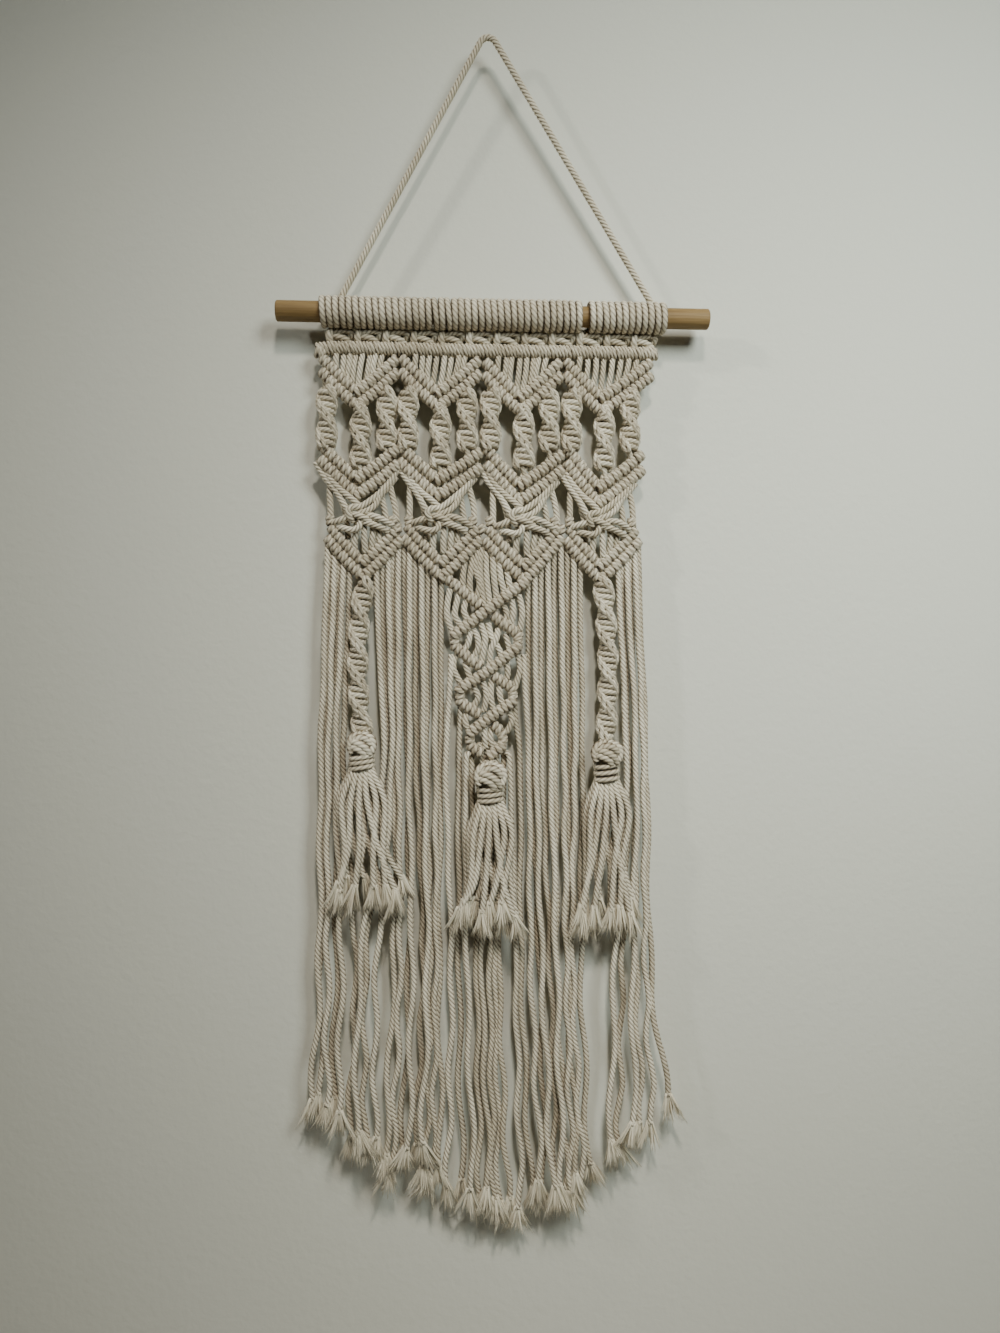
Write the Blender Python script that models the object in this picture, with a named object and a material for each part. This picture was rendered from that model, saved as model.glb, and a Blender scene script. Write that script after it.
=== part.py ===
"""Macrame wall hanging: cotton cords knotted onto a wooden dowel, which hangs by a cord from a wall nail.

The origin is the point where the hanging cord lies over the nail. +Z is up, and the front faces -Y.
Sizes and places are in millimetres, and become metres where the meshes are made.
"""
import math
from collections import namedtuple

import bmesh
import bpy
from mathutils import Matrix, Vector

MM = 0.001
CLEARANCE = 0.4                # air between one piece and the next

# ---------------------------------------------------------------- dowel, wraps and hanging cord
CORD = 4.0                     # thickness of every cord
DOWEL_LENGTH = 254.0
DOWEL_RADIUS = 6.0
DOWEL_CHAMFER = 0.7
DOWEL_SIDES = 24
DOWEL_CENTRE = (4.0, 0.0, -162.8)

Wraps = namedtuple("Wraps", "name left right turns")
WRAPS = (
    Wraps("heading_left", -97.7, 54.9, 40),
    Wraps("heading_right", 59.1, 105.0, 12),
)
WRAP_CREST = DOWEL_RADIUS + 3.2  # the cord is drawn flat where it is pulled tight round the dowel
WRAP_VALLEY = WRAP_CREST - 0.9
WRAP_SIDES = 8

HANGER_LEFT = (-85.6, 3.0, -152.6)
HANGER_RIGHT = (97.2, 3.0, -152.6)
HANGER_BEND_RADIUS = 5.0       # of the cord's centreline over the nail
HANGER_BEND_STEPS = 8
HANGER_STEP = 12.0             # between the points of its centreline

# ---------------------------------------------------------------- knotted panel
PANEL_Y = 3.5                  # middle of the knotted cloth, between the dowel's axis and the wall
CORD_Y = 3.3                   # middle of its short cords
BAR_HALF_WIDTH = 3.15          # a row of hitches seen from the front
BAR_HALF_DEPTH = 3.9
BAR_VALLEY = 0.84              # width between two ridges, as a share of the width on a ridge
BAR_END = 0.72
RIDGE_PITCH = 12.0
BAR_SIDES = 4
LAY_OVER = 0.35                # a leg that passes over its neighbour lies this much nearer the front
ROOT = 0.5                     # how far a cord's end runs past the middle of the bar that holds it

TOP_BAR_LEFT = (-96.5, -182.5)
TOP_BAR_RIGHT = (100.2, -182.5)
TOP_BAR_HALF_WIDTH = 4.3
TOP_BAR_PITCH = 8.2

# The upper V of each pair of hitched bars: its left end, its point and its right end
Vee = namedtuple("Vee", "row left_x left_z point_x point_z right_x right_z")
VEES = (
    Vee("A", -96.0, -189.5, -76.7, -208.2, -54.4, -189.2),
    Vee("A", -50.0, -188.8, -29.4, -208.2, -6.0, -189.2),
    Vee("A", -0.8, -190.0, 19.4, -210.2, 42.0, -189.6),
    Vee("A", 46.8, -189.0, 67.4, -209.6, 96.0, -188.8),
    Vee("C", -97.0, -239.6, -76.6, -259.2, -54.0, -241.8),
    Vee("C", -51.0, -240.0, -29.8, -259.2, -5.2, -243.2),
    Vee("C", 0.0, -241.6, 19.0, -261.8, 43.2, -244.0),
    Vee("C", 47.5, -240.0, 65.8, -263.0, 91.0, -243.4),
    Vee("D", -91.2, -288.4, -73.3, -308.2, -53.6, -288.6),
    Vee("D", -46.8, -287.6, -27.4, -308.2, -7.2, -288.4),
    Vee("D", 0.8, -288.8, 21.6, -309.8, 41.2, -287.4),
    Vee("D", 48.8, -288.4, 66.8, -309.4, 87.4, -288.8),
)
VEE_STEP = {"A": 9.7, "C": 10.0, "D": 10.2}        # from the upper V of a pair down to the lower one
LOWER_VEE_OVERRUN = {"A": 1.5, "C": 1.5, "D": 5.0}  # how much longer each leg of the lower one is
POINT_OVERRUN = 1.2            # how far the right leg runs past the point of its V, over the left one
JOINING_OVERRUN = 4.5          # the same where it runs into the lower V of its pair

HEADING_KNOTS = 12             # small square knots between the wraps and the top bar
HEADING_KNOT_X = (-90.0, 96.0)
HEADING_KNOT_TOP = -173.6
HEADING_KNOT_WIDTH = 10.5
HEADING_KNOT_DEPTH = 2.4       # of its crossing cords in front of and behind the middle of the panel

HANGING_CORDS = 6              # short cords in each V of the first row
HANGING_CORD_INSET = 5.5       # of the first and last from the ends of the V
HANGING_CORD_LEAN = 3.0

# Spiral sinnets in each column, by their offset from the column's point
Sinnet = namedtuple("Sinnet", "offset top bottom front_z")
SINNETS = (
    Sinnet(-17.4, -202.0, -243.0, -214.0),
    Sinnet(2.0, -218.0, -257.5, -227.5),
    Sinnet(17.2, -202.0, -244.0, -215.5),
)
SINNET_Y = PANEL_Y + 0.4
SINNET_HALF_WIDTH = 5.9
SINNET_HALF_DEPTH = 2.9
SINNET_KNOT = 3.8              # height of one half knot
SINNET_TURN = math.radians(36.0)                   # turn of one half knot
SINNET_VALLEY = 0.86

# Cords that cross below the second row, from the ends of each lower V to the square knot under its point
CROSSING_KNOT_Z = -282.0
CROSSING_KNOT_SHIFT = -1.5     # from the point of the last row's V
CROSSING_KNOT_HALF_LENGTH = 5.5
CROSSING_KNOT_Y = PANEL_Y - 1.4
KNOT_CORD_INSET = 3.0          # of the cords from each knot to the last bars, from the ends of both
UPRIGHT_Y = PANEL_Y + 1.0
# Where each starts, out from and above or below the end of the upper V, and where it meets the knot
Crossing = namedtuple("Crossing", "end out drop knot_x knot_z y")
CROSSINGS = (
    Crossing("left", 2.6, -11.5, -4.5, 0.5, 3.6),
    Crossing("left", -1.2, -15.0, -1.5, 1.5, 3.2),
    Crossing("right", 0.5, -12.0, 1.5, 1.5, 2.8),
    Crossing("right", -0.5, -15.0, 4.5, 0.5, 2.4),
)
Upright = namedtuple("Upright", "end shift_top shift_bottom")
UPRIGHTS = (
    Upright("left", 2.0, -0.5),
    Upright("right", -5.5, -6.0),
    Upright("right", -0.5, 0.0),
)
POINT_CORDS = (-1.5, 4.0)  # short cords below each square knot, from its middle

# ---------------------------------------------------------------- lattice and long sinnets
LatticeRow = namedtuple("LatticeRow", "half_width z")
LATTICE_X = -0.8
LATTICE = (
    LatticeRow(0.0, -335.0),
    LatticeRow(21.8, -351.0),
    LatticeRow(0.0, -370.0),
    LatticeRow(18.6, -385.5),
    LatticeRow(0.0, -398.3),
    LatticeRow(12.8, -411.0),
    LatticeRow(0.0, -421.8),
)
LATTICE_OVERRUN = 1.3          # how far each bar runs past its corner
LATTICE_LAYERS = (0.9, 1.6)    # how far, in lay-overs, its bars lie from the middle of the panel in turn
LATTICE_TOP_CORDS = 6
LATTICE_TOP_CORDS_X = (-14.0, 12.5)
LATTICE_SLOPE = 0.62           # of its bars
LatticeCords = namedtuple("LatticeCords", "count half_width top bottom")
LATTICE_CORDS = (
    LatticeCords(3, 7.5, -337.0, -367.0),
    LatticeCords(2, 4.0, -372.0, -396.0),
    LatticeCords(1, 0.0, -399.0, -419.0),
)
LATTICE_SIDE_CORDS = ((-17.5, -326.0, -345.0), (-12.0, -329.0, -341.0))

LongSinnet = namedtuple("LongSinnet", "top_x top_z middle_x middle_z bottom_x bottom_z front_z")
LONG_SINNETS = (
    LongSinnet(-71.6, -318.5, -76.3, -370.0, -73.5, -407.2, -328.0),
    LongSinnet(68.4, -318.5, 71.6, -372.0, 70.2, -412.3, -327.0),
)

# ---------------------------------------------------------------- fringe
# Groups of long cords: where the first and last leave their bar, their places at two levels, and their tips
MIDDLE_Z = -430.0
LOW_Z = -545.0
# A group with no root_z leaves the last V bars at their own height. A group that is behind hangs in the
# back layer, behind a tassel's head; the others take turns.
Group = namedtuple("Group", "cords behind root_x root_z middle_x low_x tip_x tip_z")
FRINGE = (
    Group(4, False, (-93.6, -87.5), None, (-97.6, -89.5), (-99.5, -90.0), (-103.0, -91.0), (-635.0, -641.0)),
    Group(2, False, (-84.5, -81.0), None, (-88.0, -85.0), (-84.0, -79.0), (-88.0, -81.5), (-646.0, -657.0)),
    Group(3, False, (-65.5, -58.5), None, (-62.5, -57.5), (-75.0, -66.0), (-77.0, -66.0), (-659.0, -655.0)),
    Group(4, False, (-56.0, -46.0), None, (-54.5, -45.0), (-54.0, -44.0), (-62.0, -47.5), (-674.0, -670.0)),
    Group(5, False, (-43.0, -27.5), None, (-41.5, -28.5), (-39.0, -28.0), (-44.0, -28.0), (-661.0, -684.0)),
    Group(4, False, (-21.5, -12.0), (-353.0, -361.0), (-23.5, -12.5), (-21.0, -12.0), (-23.0, -9.0),
          (-685.0, -695.0)),
    Group(4, True, (-8.5, 7.5), (-414.0, -414.0), (-8.5, 9.0), (-6.0, 7.5), (-2.0, 12.0), (-694.0, -698.0)),
    Group(4, False, (10.5, 20.0), (-361.0, -353.0), (15.5, 26.0), (14.5, 28.5), (20.0, 33.5),
          (-698.0, -686.0)),
    Group(7, False, (28.5, 55.0), None, (31.5, 56.0), (34.5, 53.5), (39.0, 61.0), (-697.0, -683.0)),
    Group(6, False, (77.5, 90.0), None, (83.0, 94.0), (76.0, 97.0), (70.0, 108.0), (-669.0, -645.0)),
)
FRINGE_LAYERS = (2.9, 7.3)     # y of the front and back cords
SETTLE = 0.25                  # share of the way to the middle level where a cord reaches its layer
TIP_FLARE = 1.35               # the untwisted end of a cord is wider than the cord
TIP_LENGTH = 16.0

# ---------------------------------------------------------------- tassels
# From the top down: a ball under the cord it hangs from, a wrapped neck, and a skirt of strands. ball,
# wrap, bulge and tip_spread are half widths; top_y is the y of its top, and y that of the rest.
Tassel = namedtuple("Tassel", "name x top ball ball_end wrap wrap_end bulge tip_x tip_spread tip_z top_y y")
TASSELS = (
    Tassel("tassel_left", -73.5, -408.3, 7.9, -420.5, 7.6, -429.0, 11.5, -69.5, 20.0, -511.0, 2.4, -1.0),
    Tassel("tassel_center", 1.2, -426.2, 9.4, -439.5, 7.8, -448.5, 11.0, -0.2, 17.5, -524.0, 0.8, -2.8),
    Tassel("tassel_right", 69.9, -413.9, 9.6, -426.0, 7.7, -437.0, 11.0, 68.2, 17.5, -526.0, 2.4, -1.0),
)
TASSEL_STRANDS = 10
TASSEL_DEPTH = 0.72            # a head's depth as a share of its width
TASSEL_SIDES = 8
TASSEL_WRAP_TURNS = 3
TASSEL_STRAND_Y = (-1.4, -5.6)  # back and front rows of strands, from the middle of the head
TASSEL_SHOULDER = 14.0         # below the neck, where the strands reach their own rows
TASSEL_WAIST = 45.0            # below the neck, where they start to spread to their tips

STRAND_RADIUS = 2.4            # out to the corners of a strand
STRAND_SIDES = 3
FRONT = Vector((0.0, -1.0, 0.0))

COTTON_COLOUR = (0.62, 0.57, 0.48, 1.0)
WOOD_COLOUR = (0.45, 0.27, 0.11, 1.0)


# ---------------------------------------------------------------- helpers
def lerp(first, last, share):
    return first + (last - first) * share


def spread(pair, index, count):
    """The place of one of count items spread evenly from pair[0] to pair[1]."""
    return lerp(pair[0], pair[1], index / max(count - 1, 1))


def uneven(index, size):
    """A repeatable offset between -size and size, different for each whole number index."""
    return size * math.sin(index * 2.399 + math.sin(index * 1.7))


def clear_scene():
    for item in list(bpy.data.objects):
        bpy.data.objects.remove(item, do_unlink=True)


def make_material(name, colour, roughness):
    material = bpy.data.materials.new(name)
    material.use_nodes = True
    shader = material.node_tree.nodes["Principled BSDF"]
    shader.inputs["Base Color"].default_value = colour
    shader.inputs["Roughness"].default_value = roughness
    shader.inputs["Metallic"].default_value = 0.0
    return material


def make_object(name, bm):
    bmesh.ops.recalc_face_normals(bm, faces=bm.faces)
    mesh = bpy.data.meshes.new(name)
    bm.to_mesh(mesh)
    bm.free()
    piece = bpy.data.objects.new(name, mesh)
    bpy.context.scene.collection.objects.link(piece)
    return piece


def sweep(name, path, half_width, half_depth, sides, scales=None, turns=None):
    """A closed tube along path; half_width is across it seen from the front, half_depth front to back.

    scales and turns, one for each point of the path, resize and turn its section.
    """
    bm = bmesh.new()
    count = len(path)
    rings = []
    for i, point in enumerate(path):
        along = (path[min(i + 1, count - 1)] - path[max(i - 1, 0)]).normalized()
        across = along.cross(FRONT).normalized()
        out = across.cross(along).normalized()
        scale = scales[i] if scales else 1.0
        turn = Matrix.Rotation(turns[i] if turns else 0.0, 2)
        ring = []
        for k in range(sides):
            angle = math.tau * k / sides + math.pi / 2
            u, v = turn @ Vector((half_width * math.cos(angle), half_depth * math.sin(angle))) * scale
            ring.append(bm.verts.new((point + across * u + out * v) * MM))
        rings.append(ring)
    for lower, upper in zip(rings, rings[1:]):
        for k in range(sides):
            m = (k + 1) % sides
            bm.faces.new((lower[k], lower[m], upper[m], upper[k]))
    bm.faces.new(list(reversed(rings[0])))
    bm.faces.new(rings[-1])
    return make_object(name, bm)


def bar(start, end, y, pitch=RIDGE_PITCH, half_width=BAR_HALF_WIDTH):
    """A straight ridged bar of hitches; start and end are (x, z)."""
    first = Vector((start[0], y, start[1]))
    last = Vector((end[0], y, end[1]))
    ridges = max(1, round((last - first).length / pitch))
    steps = 2 * ridges
    path = [first.lerp(last, i / steps) for i in range(steps + 1)]
    scales = [1.0 if i % 2 else BAR_VALLEY for i in range(len(path))]
    scales[0] = scales[-1] = BAR_END
    return sweep("bar", path, half_width, BAR_HALF_DEPTH, BAR_SIDES, scales)


def strand(points, flare=None):
    path = [Vector(point) for point in points]
    scales = [1.0] * len(path)
    if flare:
        scales[-1] = flare
    return sweep("strand", path, STRAND_RADIUS, STRAND_RADIUS, STRAND_SIDES, scales)


def sinnet(path, front_z):
    """A twisted band of half knots, facing the front at the height front_z."""
    turns = [SINNET_TURN * (front_z - point.z) / SINNET_KNOT for point in path]
    scales = [1.0 if i % 2 else SINNET_VALLEY for i in range(len(path))]
    return sweep("sinnet", path, SINNET_HALF_WIDTH, SINNET_HALF_DEPTH, 4, scales, turns)


def extended(start, end, amount):
    """The point that lies amount beyond end on the line from start."""
    run = Vector(end) - Vector(start)
    return tuple(Vector(end) + run.normalized() * amount)


def fuse(name, pieces, material):
    """One solid from pieces that overlap."""
    base = pieces[0]
    base.name = name
    others = bpy.data.collections.new(name + "_others")
    for piece in pieces[1:]:
        bpy.context.scene.collection.objects.unlink(piece)
        others.objects.link(piece)
    union = base.modifiers.new("union", "BOOLEAN")
    union.operation = "UNION"
    union.operand_type = "COLLECTION"
    union.collection = others
    graph = bpy.context.evaluated_depsgraph_get()
    mesh = bpy.data.meshes.new_from_object(base.evaluated_get(graph))
    base.modifiers.clear()
    base.data = mesh
    for piece in list(others.objects):
        bpy.data.objects.remove(piece, do_unlink=True)
    bpy.data.collections.remove(others)
    dress(base, material)
    return base


def dress(piece, material):
    piece.data.materials.clear()
    piece.data.materials.append(material)
    return piece


# ---------------------------------------------------------------- dowel, wraps and hanging cord
def make_dowel(material):
    centre = Vector(DOWEL_CENTRE)
    half = DOWEL_LENGTH / 2
    stations = (-half, -half + DOWEL_CHAMFER, half - DOWEL_CHAMFER, half)
    end_scale = 1.0 - DOWEL_CHAMFER / DOWEL_RADIUS
    path = [centre + Vector((x, 0.0, 0.0)) for x in stations]
    scales = (end_scale, 1.0, 1.0, end_scale)
    piece = sweep("dowel", path, DOWEL_RADIUS, DOWEL_RADIUS, DOWEL_SIDES, scales)
    piece.data.shade_smooth()
    piece.data.set_sharp_from_angle(angle=math.radians(35))
    return dress(piece, material)


def make_wraps(wraps, material):
    """The turns of cord round the dowel: a ridged sleeve with a bore that clears the dowel."""
    bore = (DOWEL_RADIUS + CLEARANCE) / math.cos(math.pi / WRAP_SIDES)
    pitch = (wraps.right - wraps.left) / wraps.turns
    profile = [(wraps.right, bore), (wraps.left, bore)]
    for turn in range(wraps.turns):
        profile.append((wraps.left + pitch * turn, WRAP_VALLEY))
        profile.append((wraps.left + pitch * (turn + 0.5), WRAP_CREST))
    profile.append((wraps.right, WRAP_VALLEY))
    bm = bmesh.new()
    rings = []
    for x, radius in profile:
        ring = []
        for k in range(WRAP_SIDES):
            angle = math.tau * (k + 0.5) / WRAP_SIDES
            place = Vector((x, DOWEL_CENTRE[1] + radius * math.cos(angle),
                            DOWEL_CENTRE[2] + radius * math.sin(angle)))
            ring.append(bm.verts.new(place * MM))
        rings.append(ring)
    for i, ring in enumerate(rings):
        following = rings[(i + 1) % len(rings)]
        for k in range(WRAP_SIDES):
            m = (k + 1) % WRAP_SIDES
            bm.faces.new((ring[k], ring[m], following[m], following[k]))
    return dress(make_object(wraps.name, bm), material)


def hanger_route():
    """The hanging cord's centreline: up from the left, round the nail, down to the right."""
    left = Vector(HANGER_LEFT)
    right = Vector(HANGER_RIGHT)
    left_lean = math.atan2(-left.x, -left.z)
    right_lean = math.atan2(right.x, -right.z)
    radius = HANGER_BEND_RADIUS
    centre = Vector((0.0, 0.0, -radius))
    arc = []
    for i in range(HANGER_BEND_STEPS + 1):
        angle = lerp(left_lean - math.pi / 2, math.pi / 2 - right_lean, i / HANGER_BEND_STEPS)
        arc.append(centre + Vector((math.sin(angle), 0.0, math.cos(angle))) * radius)
    up = int((arc[0] - left).length / HANGER_STEP)
    down = int((right - arc[-1]).length / HANGER_STEP)
    route = [left.lerp(arc[0], i / up) for i in range(up)]
    route += arc
    route += [arc[-1].lerp(right, i / down) for i in range(1, down + 1)]
    return route


def make_hanger(material):
    curve = bpy.data.curves.new("hanger", "CURVE")
    curve.dimensions = "3D"
    curve.bevel_depth = CORD / 2 * MM
    curve.bevel_resolution = 2
    curve.use_fill_caps = True
    route = hanger_route()
    spline = curve.splines.new("POLY")
    spline.points.add(len(route) - 1)
    for point, place in zip(spline.points, route):
        point.co = (*(place * MM), 1.0)
    piece = bpy.data.objects.new("hanger", curve)
    bpy.context.scene.collection.objects.link(piece)
    curve.materials.append(material)
    return piece


# ---------------------------------------------------------------- knotted panel
def vee_legs(vee, drop, overrun, y, point_overrun=POINT_OVERRUN):
    """The two legs of one V, drop below the table's V, with their outer ends overrun longer."""
    point = (vee.point_x, vee.point_z - drop)
    left = extended(point, (vee.left_x, vee.left_z - drop), overrun)
    right = extended(point, (vee.right_x, vee.right_z - drop), overrun)
    return [
        bar(left, point, y + LAY_OVER),
        bar(right, extended(right, point, point_overrun), y - LAY_OVER),
    ]


def on_leg(vee, x, drop=0.0):
    """The height of a V's centreline at x."""
    if x < vee.point_x:
        share = (x - vee.left_x) / (vee.point_x - vee.left_x)
        return lerp(vee.left_z, vee.point_z, share) - drop
    share = (x - vee.point_x) / (vee.right_x - vee.point_x)
    return lerp(vee.point_z, vee.right_z, share) - drop


def heading_knots():
    """Two cords of each small square knot, which cross one in front of the other."""
    pieces = []
    reach = HEADING_KNOT_WIDTH / 2
    for i in range(HEADING_KNOTS):
        x = spread(HEADING_KNOT_X, i, HEADING_KNOTS)
        for side in (-1, 1):
            y = PANEL_Y + side * HEADING_KNOT_DEPTH
            top = (x - side * reach, y, HEADING_KNOT_TOP)
            foot = (x + side * reach, y, TOP_BAR_LEFT[1] + ROOT)
            pieces.append(strand([top, foot]))
    return pieces


def first_row_cords():
    """Short leaning cords from the top bar down to the first V of each column."""
    pieces = []
    for vee in VEES:
        if vee.row != "A":
            continue
        for i in range(HANGING_CORDS):
            ends = (vee.left_x + HANGING_CORD_INSET, vee.right_x - HANGING_CORD_INSET)
            top_x = spread(ends, i, HANGING_CORDS) + HANGING_CORD_LEAN / 2
            foot_x = top_x - HANGING_CORD_LEAN
            top = (top_x, CORD_Y + uneven(i, 0.4), TOP_BAR_LEFT[1] + ROOT)
            foot = (foot_x, CORD_Y + uneven(i + 3, 0.4), on_leg(vee, foot_x) - ROOT)
            pieces.append(strand([top, foot]))
    return pieces


def short_sinnets():
    pieces = []
    for vee in VEES:
        if vee.row != "A":
            continue
        for row in SINNETS:
            x = vee.point_x + row.offset
            knots = round((row.top - row.bottom) / SINNET_KNOT)
            levels = [lerp(row.top, row.bottom, i / knots) for i in range(knots + 1)]
            pieces.append(sinnet([Vector((x, SINNET_Y, z)) for z in levels], row.front_z))
    return pieces


def crossing_cords(upper, last):
    """The cords between a second-row V and the last-row V of the same column, with their square knot."""
    pieces = []
    step = VEE_STEP["C"]
    knot_x = last.point_x + CROSSING_KNOT_SHIFT
    ends = {"left": (upper.left_x, upper.left_z), "right": (upper.right_x, upper.right_z)}
    last_ends = {"left": last.left_x, "right": last.right_x}
    outward = {"left": -1.0, "right": 1.0}
    for row in CROSSINGS:
        end_x, end_z = ends[row.end]
        start = (end_x + outward[row.end] * row.out, PANEL_Y, end_z + row.drop)
        foot = (knot_x + row.knot_x, row.y, CROSSING_KNOT_Z + row.knot_z)
        pieces.append(strand([start, foot]))
    for i, row in enumerate(UPRIGHTS):
        end_x, end_z = ends[row.end]
        last_x = last_ends[row.end]
        top = (end_x + row.shift_top, UPRIGHT_Y + uneven(i, 0.3), end_z - step)
        foot = (last_x + row.shift_bottom, PANEL_Y + 0.4, on_leg(last, last_x) - 2 * ROOT)
        pieces.append(strand([top, foot]))
    half = CROSSING_KNOT_HALF_LENGTH
    knot_ends = ((knot_x - half, CROSSING_KNOT_Z), (knot_x + half, CROSSING_KNOT_Z))
    pieces.append(bar(*knot_ends, CROSSING_KNOT_Y))
    for side, end_x in last_ends.items():
        top_x = knot_x + outward[side] * KNOT_CORD_INSET
        foot_x = end_x - outward[side] * KNOT_CORD_INSET
        top = (top_x, CROSSING_KNOT_Y - 0.2, CROSSING_KNOT_Z - 2 * ROOT)
        foot = (foot_x, PANEL_Y - 0.6, on_leg(last, foot_x) + 2 * ROOT)
        pieces.append(strand([top, foot]))
    for i, shift in enumerate(POINT_CORDS):
        x = knot_x + shift
        top = (x, PANEL_Y - 0.3 + 0.3 * i, CROSSING_KNOT_Z - 2 * ROOT)
        foot = (x + 0.5, PANEL_Y + 0.2 * i, on_leg(last, x + 0.5) - ROOT)
        pieces.append(strand([top, foot]))
    return pieces


def make_panel(material):
    pieces = [bar(TOP_BAR_LEFT, TOP_BAR_RIGHT, PANEL_Y, TOP_BAR_PITCH, TOP_BAR_HALF_WIDTH)]
    for vee in VEES:
        joining = POINT_OVERRUN if vee.row == "D" else JOINING_OVERRUN
        pieces += vee_legs(vee, 0.0, 0.0, PANEL_Y, joining)
        if vee.row != "D":
            pieces += vee_legs(vee, VEE_STEP[vee.row], LOWER_VEE_OVERRUN[vee.row], PANEL_Y - 0.15)
    pieces += heading_knots()
    pieces += first_row_cords()
    pieces += short_sinnets()
    for upper, last in zip(VEES[4:8], VEES[8:12]):
        pieces += crossing_cords(upper, last)
    return fuse("panel", pieces, material)


# ---------------------------------------------------------------- last bars, lattice and fringe
def lattice_bars():
    """Two zigzag bars that cross and part again, from the points of the middle Vs down to the tassel."""
    pieces = []
    for side, vee in ((-1, VEES[9]), (1, VEES[10])):
        corners = [(vee.point_x, vee.point_z - VEE_STEP["D"])]
        reach = -side
        for row in LATTICE:
            corners.append((LATTICE_X + reach * row.half_width, row.z))
            if row.half_width:
                reach = -reach
        for i, (start, end) in enumerate(zip(corners, corners[1:])):
            y = PANEL_Y + side * LAY_OVER * LATTICE_LAYERS[i % 2]
            pieces.append(bar(start, extended(start, end, LATTICE_OVERRUN), y))
    return pieces


def lattice_cords():
    """The cords that fill the spaces of the lattice."""
    pieces = []
    step = VEE_STEP["D"]
    left_vee, right_vee = VEES[9], VEES[10]
    for i in range(LATTICE_TOP_CORDS):
        x = spread(LATTICE_TOP_CORDS_X, i, LATTICE_TOP_CORDS)
        vee = left_vee if x < LATTICE_X else right_vee
        share = abs(x - LATTICE_X) / abs(vee.point_x - LATTICE_X)
        foot_z = lerp(LATTICE[0].z, vee.point_z - step, share) + ROOT
        top = (x, CORD_Y + uneven(i, 0.3), on_leg(vee, x, step) - ROOT)
        foot = (x + 0.8, CORD_Y + uneven(i + 5, 0.3), foot_z)
        pieces.append(strand([top, foot]))
    for level, row in enumerate(LATTICE_CORDS):
        for i in range(row.count):
            x = LATTICE_X + spread((-row.half_width, row.half_width), i, row.count)
            inset = abs(x - LATTICE_X) * LATTICE_SLOPE
            top = (x, CORD_Y + uneven(i + level, 0.3), row.top - inset)
            foot = (x, CORD_Y + 0.3 + uneven(i + level + 4, 0.3), row.bottom + inset)
            pieces.append(strand([top, foot]))
    for side in (-1, 1):
        for x, top, foot in LATTICE_SIDE_CORDS:
            place = LATTICE_X + side * (abs(x) - abs(LATTICE_X))
            pieces.append(strand([(place, CORD_Y + 0.4, top), (place - side * 0.6, CORD_Y + 0.1, foot)]))
    return pieces


def hem_height(x):
    """The height of the last bars at x."""
    nearest = min(VEES[8:12], key=lambda vee: abs(x - (vee.left_x + vee.right_x) / 2))
    return on_leg(nearest, x, VEE_STEP["D"])


def fringe_route(group, index, serial):
    """One long cord: out of its bar, down in its own layer, to its tip."""
    layer = FRINGE_LAYERS[1 if group.behind else serial % 2]
    root_x = spread(group.root_x, index, group.cords)
    root_z = spread(group.root_z, index, group.cords) if group.root_z else hem_height(root_x)
    middle_x = spread(group.middle_x, index, group.cords) + uneven(serial, 0.5)
    low_x = spread(group.low_x, index, group.cords) + uneven(serial + 11, 0.7)
    tip_x = spread(group.tip_x, index, group.cords) + uneven(serial + 23, 1.2)
    tip_z = spread(group.tip_z, index, group.cords) + uneven(serial + 31, 6.0)
    return [
        Vector((root_x, PANEL_Y, root_z)),
        Vector((lerp(root_x, middle_x, SETTLE), layer, lerp(root_z, MIDDLE_Z, SETTLE) - 2.0)),
        Vector((middle_x, layer, MIDDLE_Z)),
        Vector((low_x, layer, LOW_Z)),
        Vector((lerp(low_x, tip_x, 0.8), layer, tip_z + TIP_LENGTH)),
        Vector((tip_x, layer, tip_z)),
    ]


def make_fringe(material):
    """The lowest bars with the lattice and long sinnets: the strip that the long cords are rooted in."""
    step = VEE_STEP["D"]
    overrun = LOWER_VEE_OVERRUN["D"]
    pieces = []
    for vee in VEES[8:12]:
        pieces += vee_legs(vee, step, overrun, PANEL_Y)
    pieces += lattice_bars()
    pieces += lattice_cords()
    for row in LONG_SINNETS:
        knots = round((row.top_z - row.bottom_z) / SINNET_KNOT)
        middle = (row.middle_z - row.top_z) / (row.bottom_z - row.top_z)
        sag = row.middle_x - lerp(row.top_x, row.bottom_x, middle)
        path = []
        for i in range(knots + 1):
            share = i / knots
            bend = share * (1.0 - share) / (middle * (1.0 - middle))
            x = lerp(row.top_x, row.bottom_x, share) + sag * bend
            path.append(Vector((x, SINNET_Y, lerp(row.top_z, row.bottom_z, share))))
        pieces.append(sinnet(path, row.front_z))
    serial = 0
    for group in FRINGE:
        for index in range(group.cords):
            pieces.append(strand(fringe_route(group, index, serial), TIP_FLARE))
            serial += 1
    return fuse("fringe", pieces, material)


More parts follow.
